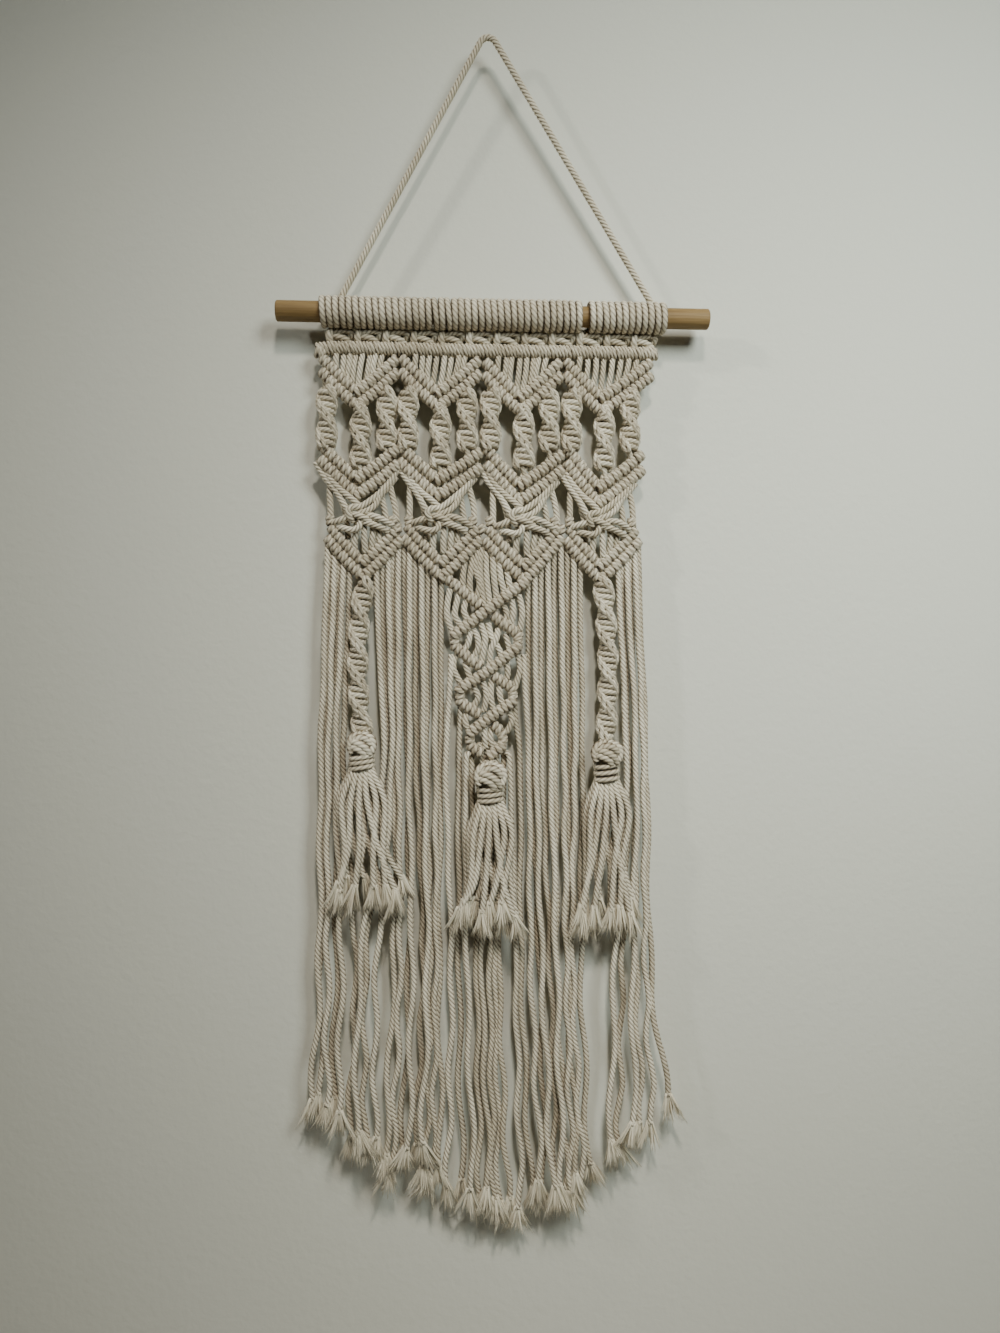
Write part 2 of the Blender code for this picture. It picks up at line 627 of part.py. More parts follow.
# ---------------------------------------------------------------- tassels
def tassel_head(row):
    """The knot ball, the wrapped neck and the start of the skirt."""
    stations = [
        (row.top, 0.5 * row.ball),
        (row.top - 2.2, 0.86 * row.ball),
        (lerp(row.top, row.ball_end, 0.5), row.ball),
        (row.ball_end + 1.5, 0.86 * row.ball),
    ]
    for turn in range(TASSEL_WRAP_TURNS):
        crest = lerp(row.ball_end, row.wrap_end, (turn + 0.5) / TASSEL_WRAP_TURNS)
        valley = lerp(row.ball_end, row.wrap_end, turn / TASSEL_WRAP_TURNS)
        stations += [(valley, 0.84 * row.wrap), (crest, row.wrap)]
    stations += [
        (row.wrap_end, 0.84 * row.wrap),
        (row.wrap_end - TASSEL_SHOULDER / 2, 0.25 * (row.wrap + row.bulge)),
    ]
    path = []
    scales = []
    for z, radius in stations:
        share = min(1.0, (row.top - z) / (row.top - row.ball_end))
        path.append(Vector((row.x, lerp(row.top_y, row.y, min(1.0, 2.0 * share)), z)))
        scales.append(radius)
    return sweep("head", path, 1.0, TASSEL_DEPTH, TASSEL_SIDES, scales)


def tassel_route(row, index):
    """One strand of a tassel, in its front or back row."""
    side = spread((-1.0, 1.0), index, TASSEL_STRANDS)
    layer = row.y + TASSEL_STRAND_Y[index % 2]
    serial = index + round(row.x)
    tip_x = row.tip_x + side * row.tip_spread + uneven(serial, 0.8)
    tip_z = row.tip_z + uneven(serial + 7, 4.0)
    waist_x = lerp(row.x, row.tip_x, 0.5) + side * lerp(row.bulge, row.tip_spread, 0.55)
    fray_x = lerp(row.x, row.tip_x, 0.8) + side * lerp(row.bulge, row.tip_spread, 0.8)
    return [
        Vector((row.x + side * (row.wrap - STRAND_RADIUS), row.y, row.wrap_end + 1.5)),
        Vector((row.x + side * row.bulge, layer, row.wrap_end - TASSEL_SHOULDER)),
        Vector((waist_x, layer, row.wrap_end - TASSEL_WAIST)),
        Vector((fray_x, layer, tip_z + TIP_LENGTH)),
        Vector((tip_x, layer, tip_z)),
    ]


def make_tassel(row, material):
    pieces = [tassel_head(row)]
    for index in range(TASSEL_STRANDS):
        pieces.append(strand(tassel_route(row, index), TIP_FLARE))
    return fuse(row.name, pieces, material)


def main():
    clear_scene()
    wood = make_material("wood", WOOD_COLOUR, 0.6)
    cotton = make_material("cotton", COTTON_COLOUR, 0.95)
    make_dowel(wood)
    for wraps in WRAPS:
        make_wraps(wraps, cotton)
    make_hanger(cotton)
    make_panel(cotton)
    make_fringe(cotton)
    for row in TASSELS:
        make_tassel(row, cotton)


main()
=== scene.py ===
"""Macrame wall hanging: twisted cotton cords knotted onto a wooden dowel, in soft room light.

Sizes and places are in millimetres in the part's own frame, and become metres where the meshes are made.
The front faces -Y, +Z is up, and the origin is the point where the hanging cord lies over its nail.
"""
import math
import random
from collections import namedtuple

import bpy
import numpy as np
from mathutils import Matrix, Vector


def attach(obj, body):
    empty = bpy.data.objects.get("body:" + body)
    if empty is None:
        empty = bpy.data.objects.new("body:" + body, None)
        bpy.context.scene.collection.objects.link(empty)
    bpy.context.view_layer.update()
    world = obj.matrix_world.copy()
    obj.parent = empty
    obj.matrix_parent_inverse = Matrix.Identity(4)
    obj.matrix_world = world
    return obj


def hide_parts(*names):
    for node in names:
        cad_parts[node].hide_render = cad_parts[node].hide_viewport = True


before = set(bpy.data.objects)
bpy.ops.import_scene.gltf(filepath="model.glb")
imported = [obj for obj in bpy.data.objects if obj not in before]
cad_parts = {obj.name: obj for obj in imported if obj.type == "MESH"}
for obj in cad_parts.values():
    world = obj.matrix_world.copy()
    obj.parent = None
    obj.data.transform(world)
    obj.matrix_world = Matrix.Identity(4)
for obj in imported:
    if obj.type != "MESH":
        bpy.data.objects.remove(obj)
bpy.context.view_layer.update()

MM = 0.001
TAU = math.tau
FRONT = np.array((0.0, -1.0, 0.0))
RIGHT = np.array((1.0, 0.0, 0.0))
UP = np.array((0.0, 0.0, 1.0))
rng = random.Random(41)

# ---- cord
CORD = 4.0  # thickness of a cord
LAY = 11.0  # length of one full turn of its four strands
LOOP_LAY = 12.0  # the same where the cord is pulled tight in a loop
LOOSE = 0.93  # thickness of a cord that hangs free, as a share of CORD
GROOVE = 0.70  # radius in the grooves between the strands, as a share of the cord's
CURVE_STEPS = 8  # places worked out between each two points of a smooth curve
STEP = 1.1  # between the rings of a cord's surface
FRINGE_STEP = 1.45  # the same on the long cords
SHORT_STEP = 1.25  # the same on the short cords of a sinnet
HIDDEN_STEP = 1.6  # the same on cords that are half hidden
LOOP_STEPS = 14  # rings in one loop of a bar
WRAP_STEPS = 30  # rings in one turn round the dowel
NECK_STEPS = 28  # rings in one turn round a tassel's neck
ROD_SIDES = 6  # of a plain surface, thin or hidden
TEXTURE_LENGTH = 12.0  # length of cord to one length of the cotton's texture

# How light the cotton is: tones go from light, 0, to dark, 1, and painted shades from black, 0, to full
# colour, 1
LOOP_TONES = (0.45, 0.85)
HANGING_TONES_AND_SHADE = ((0.0, 0.4), (0.45, 1.0))  # the long cords in front, and those behind, which are darker as painted shade
HANGER_TONE = 0.55
CORE_TONE = 0.3
BALL_TONE = 0.4
LINE_SHADE = 0.80  # the lines between strands where a cord is pulled tight
CAP_SHADE = 0.9  # the cut ends
CORE_SHADE = 0.80  # painted shade on the hidden cord in a bar, so the gaps between its loops look dark
HEADING_SHADE = 0.93  # the small knots in the wraps' shadow

# How much painted shade darkens a cord's sides, where it meets the next one
FLANK = 0.46
FLANK_POWER = 6  # how narrow these sides are
WRAP_FLANK = 0.50
TOP_FLANK = 0.45
BALL_FLANK = 0.35
HANGING_FLANK = 0.18

# ---- dowel, wraps and hanging cord
DOWEL_Z = -162.8
Wraps = namedtuple("Wraps", "node left right turns")
WRAPS = (
    Wraps("heading_left", -97.7, 54.9, 40),
    Wraps("heading_right", 59.1, 105.0, 12),
)
TURN_RADIUS = 7.55  # of a turn's centreline round the dowel
TURN_THICK = 1.9  # half thickness of a turn, out from the dowel
TURN_WIDE = 2.06  # half width of a turn, along the dowel
TURN_LEAN = -0.45
LOW_TURNS = (17, 19)  # two narrower turns of the left heading, which lean more
LOW_TURN_LEAN = -0.9
LOW_TURN_WIDE = 0.9  # their width, as a share of the others'

HANGER_LEFT = (-85.6, 3.0, -152.6)
HANGER_RIGHT = (97.2, 3.0, -152.6)
HANGER_BEND_RADIUS = 5.0
HANGER_BEND_STEPS = 8
HANGER_SPACING = 12.0  # between the places worked out along its straight parts
HANGER_STEP = 1.0  # between the rings of its surface
HANGER_THICK = 0.98  # its thickness, as a share of CORD
HANGER_LEANS = (0.52, -0.55)  # how far it leans across at its left and right end
# Its end, which goes down behind the wraps: (x for a lean of 1, y, z) from HANGER_LEFT or HANGER_RIGHT
HANGER_TAIL = ((0.5, 0, 0.6), (-2, 1.6, -4), (-3, 4.6, -10), (-3, 3.2, -17))

# ---- knotted panel
PANEL_Y = 3.5
LAY_OVER = 0.35  # how far the two bars at a V's point lie in front of the middle and behind it
BAR_RADIUS = 3.5  # out to the face of a row of hitches
BAR_PITCH = 3.0  # from one loop to the next
BAR_FULLNESS = 0.62  # half width of a loop, as a share of the pitch
BAR_LEAN = 0.35  # how far the loops lean along the bar
CORE = 0.78  # radius of the hidden cord in a bar, as a share of the bar's
HITCH_THICK = 0.42  # half thickness of a loop, as a share of the bar's radius
HITCH_DEPTH = 1.12  # a bar's depth, as a share of its height
END_HITCH = 0.93  # size of the first and last loops
BAR_STEP = 0.4  # between the places worked out along a bar
CORE_STRIDE = 6  # the hidden cord uses one of each of these places
PAIRING = 0.16  # how much closer the two loops of one hitch lie
TOP_BAR_CORNER = (-95.0, -187.2)
TOP_BAR_LEFT = (-91.6, -182.9)
TOP_BAR_RIGHT = (100.6, -182.7)
TOP_BAR_RADIUS = 4.3
TOP_BAR_PITCH = 2.06
TOP_BAR_LEAN = 1.2
TOP_BAR_DEPTH = 0.95

Vee = namedtuple("Vee", "row left_x left_z point_x point_z right_x right_z")
VEES = (
    Vee("A", -96, -189.5, -76.7, -208.2, -54.4, -189.2),
    Vee("A", -50, -188.8, -29.4, -208.2, -6, -189.2),
    Vee("A", -0.8, -190, 19.4, -210.2, 42, -189.6),
    Vee("A", 46.8, -189, 67.4, -209.6, 96, -188.8),
    Vee("C", -97, -239.6, -76.6, -259.2, -54, -241.8),
    Vee("C", -51, -240, -29.8, -259.2, -5.2, -243.2),
    Vee("C", 0, -241.6, 19, -261.8, 43.2, -244),
    Vee("C", 47.5, -240, 65.8, -263, 91, -243.4),
    Vee("D", -91.2, -288.4, -73.3, -308.2, -53.6, -288.6),
    Vee("D", -46.8, -287.6, -27.4, -308.2, -7.2, -288.4),
    Vee("D", 0.8, -288.8, 21.6, -309.8, 41.2, -287.4),
    Vee("D", 48.8, -288.4, 66.8, -309.4, 87.4, -288.8),
)
FIRST_ROW, SECOND_ROW, LAST_ROW = VEES[:4], VEES[4:8], VEES[8:]
VEE_STEP = {"A": 8.3, "C": 9.5, "D": 8.5}  # from a V down to the one that is knotted under it
VEE_RADIUS = {"A": 3.6, "C": 3.8, "D": 3.45}
UPPER_VEE_OVERRUN = 1.6  # how far a V's bars run on past its outer ends
LOWER_VEE_OVERRUN = {"A": 2.4, "C": 2.2, "D": 4.6}
POINT_OVERRUN = 1.2  # how far the bar from the right runs on past the point
POINT_TUCK = 1.6  # how far before the point the bar from the left ends
VEE_SAG = (0.3, 0.4)  # how far a bar's middle bulges outwards and down
TIE_CORDS = 10
TIE_CORD = 3.0
TIE_LEAN = 0.6

HEADING_KNOTS = 12
HEADING_Y = PANEL_Y + 2.6
HEADING_KNOT_X = (-92.0, 87.6)  # the left edges of the first and the last small square knot

# Spiral sinnets in each column, by their offset from the column's point
Sinnet = namedtuple("Sinnet", "offset top bottom front_z")
SINNETS = (
    Sinnet(-17.4, -207, -240.5, -214),
    Sinnet(2, -216.5, -251, -227.5),
    Sinnet(17.2, -207.5, -241, -215.5),
)
SINNET_Y = PANEL_Y + 0.4
HALF_KNOT = 3.8  # height of one half knot
HALF_KNOT_TURN = math.radians(36)
RUNG_CORD = 3.55
EDGE_CORD = 2.6
FILLER_CORD = 3.2
FILLER_SIDE = 1.6  # from a sinnet's middle to each of its two filler cords
LEAD = 7.0  # how far these run straight before and after the knots

# ---- lattice and long sinnets
LatticeRow = namedtuple("LatticeRow", "crossing_z half_width corner_z")
LATTICE_X = -0.8
LATTICE_START = ((-26.4, -315.2), (23.6, -318.0))
LATTICE = (
    LatticeRow(-336, 18.7, -353.7),
    LatticeRow(-372, 15.7, -386),
    LatticeRow(-400.3, 9.8, -412),
)
LATTICE_FOOT = ((LATTICE_X + 0.6, -422.6), (LATTICE_X - 2.6, -420.6))  # where the two bars end
LATTICE_PITCH = 3.15
LATTICE_LOOP = 1.95  # half width of a loop, along the bar
LATTICE_RADIUS = 3.6
LATTICE_LAYERS = (PANEL_Y - 0.9, PANEL_Y + 0.8)  # the bar that lies over each crossing, and the other
LATTICE_TUCK = 4.6  # how far from a crossing the bar below ends
CORNER_KNOT = (2.6, 2.4)  # half height and radius of the two loops at a corner
CORNER_HALF = 1.9  # from a corner's middle to the bars that meet there
CORNER_LOOP = (0.8, 0.2, 1.6)  # what their bar adds to that radius, their lean and half width
CORNER_BEND = (1.1, 4.4)  # a place on each bar near a corner: inwards and along
PATH_CORD = 3.8  # thickness of the cords between the rows and in the lattice

LongSinnet = namedtuple("LongSinnet", "top_x top_z middle_x middle_z bottom_x bottom_z front_z")
LONG_SINNETS = (
    LongSinnet(-71.6, -318.5, -76.3, -370, -73.5, -407.2, -328),
    LongSinnet(68.4, -318.5, 71.6, -372, 70.2, -412.3, -327),
)

# ---- fringe
MIDDLE_Z = -430.0
LOW_Z = -545.0
Group = namedtuple("Group", "cords root_x middle_x low_x tip_x tip_z root_z behind", defaults=(None, False))
FRINGE = (
    Group(4, (-93.6, -87.5), (-97.6, -89.5), (-99.5, -90), (-103, -91), (-635, -641)),
    Group(2, (-84.5, -81), (-88, -85), (-84, -79), (-88, -81.5), (-646, -657)),
    Group(3, (-65.5, -58.5), (-62.5, -57.5), (-75, -66), (-77, -66), (-659, -655)),
    Group(4, (-56, -46), (-54.5, -45), (-54, -44), (-62, -47.5), (-674, -670)),
    Group(5, (-43, -27.5), (-41.5, -28.5), (-39, -28), (-44, -28), (-661, -684)),
    Group(3, (-21.5, -10.5), (-23.5, -12), (-21, -12), (-23, -9), (-685, -695), (-362, -420)),
    Group(5, (-8.5, 7.5), (-8.5, 9), (-7, 7.5), (-3, 12), (-694, -698), (-414, -414), True),
    Group(3, (10.5, 21.5), (13.5, 25), (15.5, 26.5), (21, 31.5), (-698, -688), (-420, -362)),
    Group(9, (24, 55), (25.5, 56), (30, 54.5), (35, 61), (-697, -683)),
    Group(6, (77.5, 90), (83, 94), (76, 97), (70, 108), (-669, -645)),
)
FRINGE_PIECES = {"left": FRINGE[:4], "middle": FRINGE[4:7], "right": FRINGE[7:]}
FRINGE_LAYERS = (2.9, 7.3)
FRINGE_SPACING = 12.0  # between the places worked out along a long cord
SETTLE = 0.25  # the share of its way down where a cord reaches its layer
FRINGE_DRIFT = 6.5  # how far the tips hang out from the wall
WAVE = (0.3, 1.7)  # size of the waves at the top, and what is added towards the tip
WAVE_LENGTH = 62.0
FRINGE_ROOT = PANEL_Y + 1.6
FRAY_LENGTH = 15.0
FRAY_FLARE = 0.30
FRAY_RINGS = 6
TUFTS = 9  # the bunches that a cord's end opens into
TUFT_FIBRES = 4  # the loose fibres round each
TUFT_RADII = ((0, 0.4, 0.75, 1), (0.75, 0.72, 0.48, 0.06))  # places along a bunch, and its radius there
TUFT_FLAT = 0.8  # its thickness, as a share of its width
TUFT_ROOT = (1.1, 0.8, 2.2)  # where bunches start: beside, in front of, and back from a cord's end
TUFT_LENGTHS = (0.70, 1.02)  # as shares of the frayed length
TUFT_BEND = 0.10
FIBRE_RADII = ((0, 0.5, 1), (0.42, 0.30, 0.10))
FIBRE_LENGTHS = (0.9, 1.22)  # as shares of the bunch's length
FIBRE_AWAY = (0.75, 0.3, 1.4)  # from its bunch's middle: at the root, and the least and the range added

# ---- tassels
Tassel = namedtuple("Tassel", "name x top ball ball_end wrap wrap_end bulge tip_x tip_spread tip_z top_y y"
                              " slant")
TASSELS = (
    Tassel("tassel_left", -73.5, -408.3, 8.2, -420.5, 7.6, -429, 13.6, -69.5, 20, -511, 2.4, -1, 1.3),
    Tassel("tassel_center", 1.2, -426.2, 9.4, -439.5, 7.8, -448.5, 12.4, -0.2, 17.5, -524, 0.8, -2.8, 0.6),
    Tassel("tassel_right", 69.9, -413.9, 9.2, -426, 7.7, -437, 12.4, 68.2, 17.5, -526, 2.4, -1, 1),
)
TASSEL_STRANDS = 12
TASSEL_TIPS = (2, 0, 5, 1, 8, 4, 3, 10, 7, 6, 11, 9)  # the places across its foot that the strands reach
TASSEL_STRAND_Y = (0.2, -5.6)
TASSEL_SHOULDER = 14.0
TASSEL_WAIST = 45.0
TASSEL_FRAY = 14.0
TASSEL_FLARE = 0.17
TASSEL_PLUMB = 30.0  # how strongly a strand's frayed end turns straight down

# ---- camera and room
CAMERA_DISTANCE = 587.6  # from the plane of the dowel's axis
CAMERA_YAW = math.radians(3.3)
CAMERA_AIM = (7.05, 0.0, -369.0)
CAMERA_LENS = 27.03
CAMERA_SENSOR = 36.0  # along the picture's long side
WALL_Y = 16.0
WALL_TOP = 1600.0
WALL_PAINT = (0.655, 0.642, 0.556)
FLOOR_Z = -960.0
FLOOR_PAINT = (0.72, 0.72, 0.69)
ROOM_REACH = 3000.0
SKY = (0.96, 0.98, 1.0)
SKY_STRENGTH = 0.022


# ---- small helpers
def lerp(first, last, share):
    return first + (last - first) * share


def spread(pair, index, count):
    """The place of one of count items spread evenly from pair[0] to pair[1]."""
    return lerp(pair[0], pair[1], index / max(count - 1, 1))


def uneven(index, size):
    """A repeatable offset between -size and size, different for each whole number index."""
    return size * math.sin(index * 2.399 + math.sin(index * 1.7))


def jitter(size):
    return rng.uniform(-size, size)


def unit(rows):
    return rows / np.maximum(np.linalg.norm(rows, axis=-1, keepdims=True), 1e-9)


def smooth_path(points, step):
    """Evenly spaced places on the smooth curve through points, with their distance along it."""
    p = np.asarray(points, float)
    knots = np.vstack([2 * p[0] - p[1], p, 2 * p[-1] - p[-2]])
    t = np.linspace(0.0, 1.0, CURVE_STEPS, endpoint=False)[:, None]
    dense = [0.5 * (2 * b + (c - a) * t + (2 * a - 5 * b + 4 * c - d) * t ** 2
                    + (3 * b - a - 3 * c + d) * t ** 3)
             for a, b, c, d in zip(knots, knots[1:], knots[2:], knots[3:])]
    dense = np.vstack(dense + [p[-1:]])
    along = np.concatenate([[0.0], np.cumsum(np.linalg.norm(np.diff(dense, axis=0), axis=1))])
    count = max(3, int(round(along[-1] / step)) + 1)
    at = np.linspace(0.0, along[-1], count)
    return np.column_stack([np.interp(at, along, dense[:, k]) for k in range(3)]), at


def carried_frames(path):
    """Directions across and out from path, carried along it with no twist."""
    tangent = unit(np.gradient(path, axis=0))
    across = np.empty_like(path)
    start = np.cross(tangent[0], FRONT)
    if np.linalg.norm(start) < 0.2:
        start = np.cross(tangent[0], (1.0, 0.0, 0.0))
    across[0] = start / np.linalg.norm(start)
    for i in range(1, len(path)):
        side = across[i - 1] - np.dot(across[i - 1], tangent[i]) * tangent[i]
        across[i] = side / np.linalg.norm(side)
    return across, np.cross(tangent, across)


class Skein:
    """Gathers the surfaces of many cords into one mesh."""

    def __init__(self):
        self.verts, self.quads, self.tris, self.quad_uv, self.tri_uv = [], [], [], [], []
        self.tone, self.groove = [], []
        self.count = 0

    def tube(self, path, along, radius, section, twist, tone, frames=None, closed=False, flank=0.0,
             shade=1.0):
        """A surface round path. section gives the radius of each line of it, and twist turns them.

        frames gives its directions across and out. flank paints shade on the sides that face the neighbours,
        and shade paints shade over all of it.
        """
        across, out = frames or carried_frames(path)
        rings, sides = len(path), len(section)
        angle = TAU * np.arange(sides) / sides + np.asarray(twist)[:, None]
        if np.ndim(radius) == 2:
            wide, thick = radius[:, :1], radius[:, 1:]
        else:
            wide = thick = np.broadcast_to(radius, (rings,))[:, None]
        u = wide * section * np.cos(angle)
        v = thick * section * np.sin(angle)
        points = path[:, None, :] + u[..., None] * across[:, None, :] + v[..., None] * out[:, None, :]
        base = self.count
        self.verts.append(points.reshape(-1, 3))
        self.tone.append(np.full(rings * sides, tone))
        # painted shade: dark lines in the grooves between strands, darker sides where cords meet, and shade
        # over the whole
        lines = section / section.max()
        if LINE_SHADE < lines.min() < 1.0:
            lines = 1.0 - (1.0 - lines) * (1.0 - LINE_SHADE) / (1.0 - lines.min())
        painted_side_shade = 1.0 - flank * np.abs(np.cos(angle)).ravel() ** FLANK_POWER
        self.groove.append(shade * np.tile(lines, rings) * painted_side_shade)
        self.count += rings * sides
        i = np.arange(rings if closed else rings - 1)[:, None]
        k = np.arange(sides)[None, :]
        nxt_i, nxt_k = (i + 1) % rings, (k + 1) % sides
        quad = np.stack([i * sides + k, i * sides + nxt_k, nxt_i * sides + nxt_k, nxt_i * sides + k], axis=-1)
        self.quads.append(quad.reshape(-1, 4) + base)
        s0 = np.broadcast_to(along[:len(i)][:, None], (len(i), sides)) / TEXTURE_LENGTH
        s1 = s0 + (along[1] - along[0]) / TEXTURE_LENGTH
        u0 = np.broadcast_to(k / sides, s0.shape)
        u1 = u0 + 1.0 / sides
        uv = np.stack([u0, s0, u1, s0, u1, s1, u0, s1], axis=-1)
        self.quad_uv.append(uv.reshape(-1, 2))
        if closed:
            return
        for ring, pair in ((0, (nxt_k, k)), (rings - 1, (k, nxt_k))):
            edge = np.vstack(pair) + base + ring * sides
            self.tris.append(np.column_stack([*edge, np.full(sides, self.count)]))
            self.tri_uv.append(np.full((sides * 3, 2), 0.5))
            self.verts.append([path[ring]])
            self.tone.append([tone])
            self.groove.append([CAP_SHADE])
            self.count += 1

    def make(self, name, material, nodes):
        faces = [face for rows in self.quads + self.tris for face in rows.tolist()]
        mesh = bpy.data.meshes.new(name)
        mesh.from_pydata(np.vstack(self.verts) * MM, [], faces)
        uv = mesh.uv_layers.new(name="lay")
        uv.data.foreach_set("uv", np.vstack(self.quad_uv + self.tri_uv).ravel())
        # tone holds each cord's tone, darker as painted shade on cords that hang behind; groove holds painted
        # shade
        for label, values in (("tone", self.tone), ("groove", self.groove)):
            layer = mesh.attributes.new(label, "FLOAT", "POINT")
            layer.data.foreach_set("value", np.concatenate(values).astype(np.float32))
        mesh.validate()
        mesh.shade_smooth()
        mesh.materials.append(material)
        piece = bpy.data.objects.new(name, mesh)
        bpy.context.scene.collection.objects.link(piece)
        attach(piece, "root")
        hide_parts(*nodes)
        return piece


def lobed(sides, groove=GROOVE):
    """Radii of a cord's section: four strands with a groove between each two."""
    each = sides // 4
    return np.array([groove if k % each == 0 else 1.0 for k in range(sides)])


SECTION = lobed(12)
SECTION_SMALL = lobed(8, 0.80)
SECTION_LOOP = lobed(8, 0.90)
SECTION_WRAP = lobed(12, 0.93)
SECTION_KNOT = lobed(12, 0.84)


def rod(skein, path, along, radius, tone, shade=1.0, sides=ROD_SIDES):
    """A plain round surface along path."""
    skein.tube(path, along, radius, np.ones(sides), np.zeros(len(path)), tone, shade=shade)


def cord(skein, points, width=CORD * LOOSE, step=STEP, section=SECTION, flat=1.0, flank=0.0, shade=1.0,
         tone=None):
    """A twisted cord along the smooth curve through points. flat squeezes it front to back."""
    path, along = smooth_path(points, step)
    twist = rng.uniform(0.0, TAU) - TAU * along / LAY
    radius = np.full(len(path), width / 2)
    skein.tube(path, along, np.column_stack([radius, radius * flat]), section, twist,
               rng.random() if tone is None else tone, flank=flank, shade=shade)


def loop(skein, centre, axis, side, wide, deep, thick, width, lean, steps=LOOP_STEPS, section=SECTION_LOOP,
         flank=FLANK, front=FRONT):
    """One turn of cord round axis, tilted by lean along it. wide and deep are its centreline's radii."""
    theta = np.linspace(0.0, TAU, steps, endpoint=False)[:, None]
    path = centre + side * np.cos(theta) * wide + front * np.sin(theta) * deep + axis * lean * np.cos(theta)
    tangent = unit(-side * np.sin(theta) * wide + front * np.cos(theta) * deep - axis * lean * np.sin(theta))
    across = unit(axis - np.sum(axis * tangent, axis=1, keepdims=True) * tangent)
    out = np.cross(tangent, across)
    # the section must meet itself where the loop closes, so the twist is a whole number of quarter turns
    length = math.pi * (wide + deep)
    quarters = max(1, round(4 * length / LOOP_LAY))
    along = np.arange(steps) * length / steps
    twist = rng.uniform(0.0, TAU) - TAU * quarters / 4 * np.arange(steps) / steps
    radius = np.column_stack([np.full(steps, width), np.full(steps, thick)])
    base, sides = skein.count, len(section)
    skein.tube(path, along, radius, section, twist, rng.uniform(*LOOP_TONES), (across, out), closed=True,
               flank=flank)
    # the last row of faces joins the first one, as many lines further round as the twist has turned
    quad = skein.quads[-1].reshape(steps, sides, 4)
    line = np.arange(sides) - quarters * sides // 4
    quad[-1, :, 2] = base + (line + 1) % sides
    quad[-1, :, 3] = base + line % sides


def hitches(skein, points, pitch=BAR_PITCH, radius=BAR_RADIUS, lean=BAR_LEAN, deep=HITCH_DEPTH, half=None,
            pairing=PAIRING, flank=FLANK):
    """A row of hitches: loops of cord side by side round a hidden cord that follows points."""
    centres, along = smooth_path(points, BAR_STEP)
    count = max(2, int(round(along[-1] / pitch)))
    places = (np.arange(count) + 0.5) * along[-1] / count
    axes = unit(np.gradient(centres, axis=0))
    thick = HITCH_THICK * radius
    half = half or BAR_FULLNESS * pitch
    for i, place in enumerate(places):
        paired = -pairing if i % 2 else pairing
        j = int(np.argmin(np.abs(along - place - paired)))
        side = unit(np.cross(axes[j], FRONT))
        front = np.cross(side, axes[j])
        end = END_HITCH if i in (0, count - 1) else 1.0
        size = (radius - thick) * end * (1.0 + jitter(0.02))
        centre = centres[j] + side * jitter(0.08) + FRONT * jitter(0.12)
        loop(skein, centre, axes[j], side, size, size * deep, thick * (1 + jitter(0.05)),
             half * (1 + jitter(0.05)), lean + jitter(0.12) - paired, flank=flank, front=front)
    # the hidden cord gets painted shade, so the gaps between the loops look dark
    rod(skein, centres[::CORE_STRIDE], along[::CORE_STRIDE], radius * CORE, CORE_TONE, CORE_SHADE)


def fray(skein, tip, direction, length, flare=FRAY_FLARE):
    """The untwisted end of a cord: bunches that fan out from it, each with loose fibres round it."""
    direction = unit(np.asarray(direction, float))
    side = unit(np.cross(direction, FRONT))
    front = np.cross(side, direction)
    swing = side * jitter(0.2) + front * jitter(0.1)
    beside, before, back = TUFT_ROOT
    away_root, away_least, away_range = FIBRE_AWAY
    share = np.linspace(0.0, 1.0, FRAY_RINGS)
    body = np.interp(share, *TUFT_RADII)
    thin = np.interp(share, *FIBRE_RADII)
    share = share[:, None]
    for tuft in range(TUFTS):
        place = (tuft + 0.5) / TUFTS * 2.0 - 1.0
        heading = direction + swing + side * (place * flare + jitter(0.13)) + front * jitter(0.26)
        start = np.asarray(tip) + side * place * beside + front * jitter(before) - direction * back
        size = length * rng.uniform(*TUFT_LENGTHS)
        bend = side * (jitter(TUFT_BEND) + TUFT_BEND * place) + front * jitter(0.08)
        line = start + heading * size * share + bend * size * share ** 2
        rod(skein, line, share[:, 0] * size, np.column_stack([body, body * TUFT_FLAT]), rng.random())
        frames = carried_frames(line)
        for _ in range(TUFT_FIBRES):
            around = rng.uniform(0.0, TAU)
            away = side * math.cos(around) + front * math.sin(around)
            grow = away_root + (away_least + away_range * rng.random()) * share ** 1.5
            longer = size * rng.uniform(*FIBRE_LENGTHS) * share
            path = start + heading * longer + bend * longer * share + away * grow
            path = path + side * jitter(0.7) * share ** 2
            skein.tube(path, longer[:, 0], thin, np.ones(3), np.zeros(FRAY_RINGS), rng.random(), frames)


# ---- materials
MIX_COLOURS = (6, 7)  # the two colour inputs of a mix node, and its colour output
MIX_RESULT = 2
WHITE = (1.0, 1.0, 1.0)
COTTON_LIGHT = (1.0, 0.92, 0.74)
COTTON_DARK = (0.64, 0.56, 0.42)
# the darkest painted shade, in the grooves between strands and on the sides where cords meet
COTTON_PAINTED_SHADE = (0.13, 0.09, 0.055)
COTTON_STREAKS = 0.75
FLUFF_LIGHT = (0.90, 0.83, 0.67)
FLUFF_DARK = (0.76, 0.685, 0.53)
FLUFF_STREAKS = 0.95
COTTON_SURFACE = {"Roughness": 0.92, "Specular IOR Level": 0.25, "Sheen Weight": 0.10, "Sheen Roughness": 0.5}
WOOD_SURFACE = {"Roughness": 0.6, "Specular IOR Level": 0.3}
PAINT_SURFACE = {"Roughness": 0.75, "Specular IOR Level": 0.3}
WOOD_GRAIN = ((0.32, (0.175, 0.105, 0.036)), (0.5, (0.235, 0.147, 0.056)), (0.68, (0.28, 0.182, 0.076)))


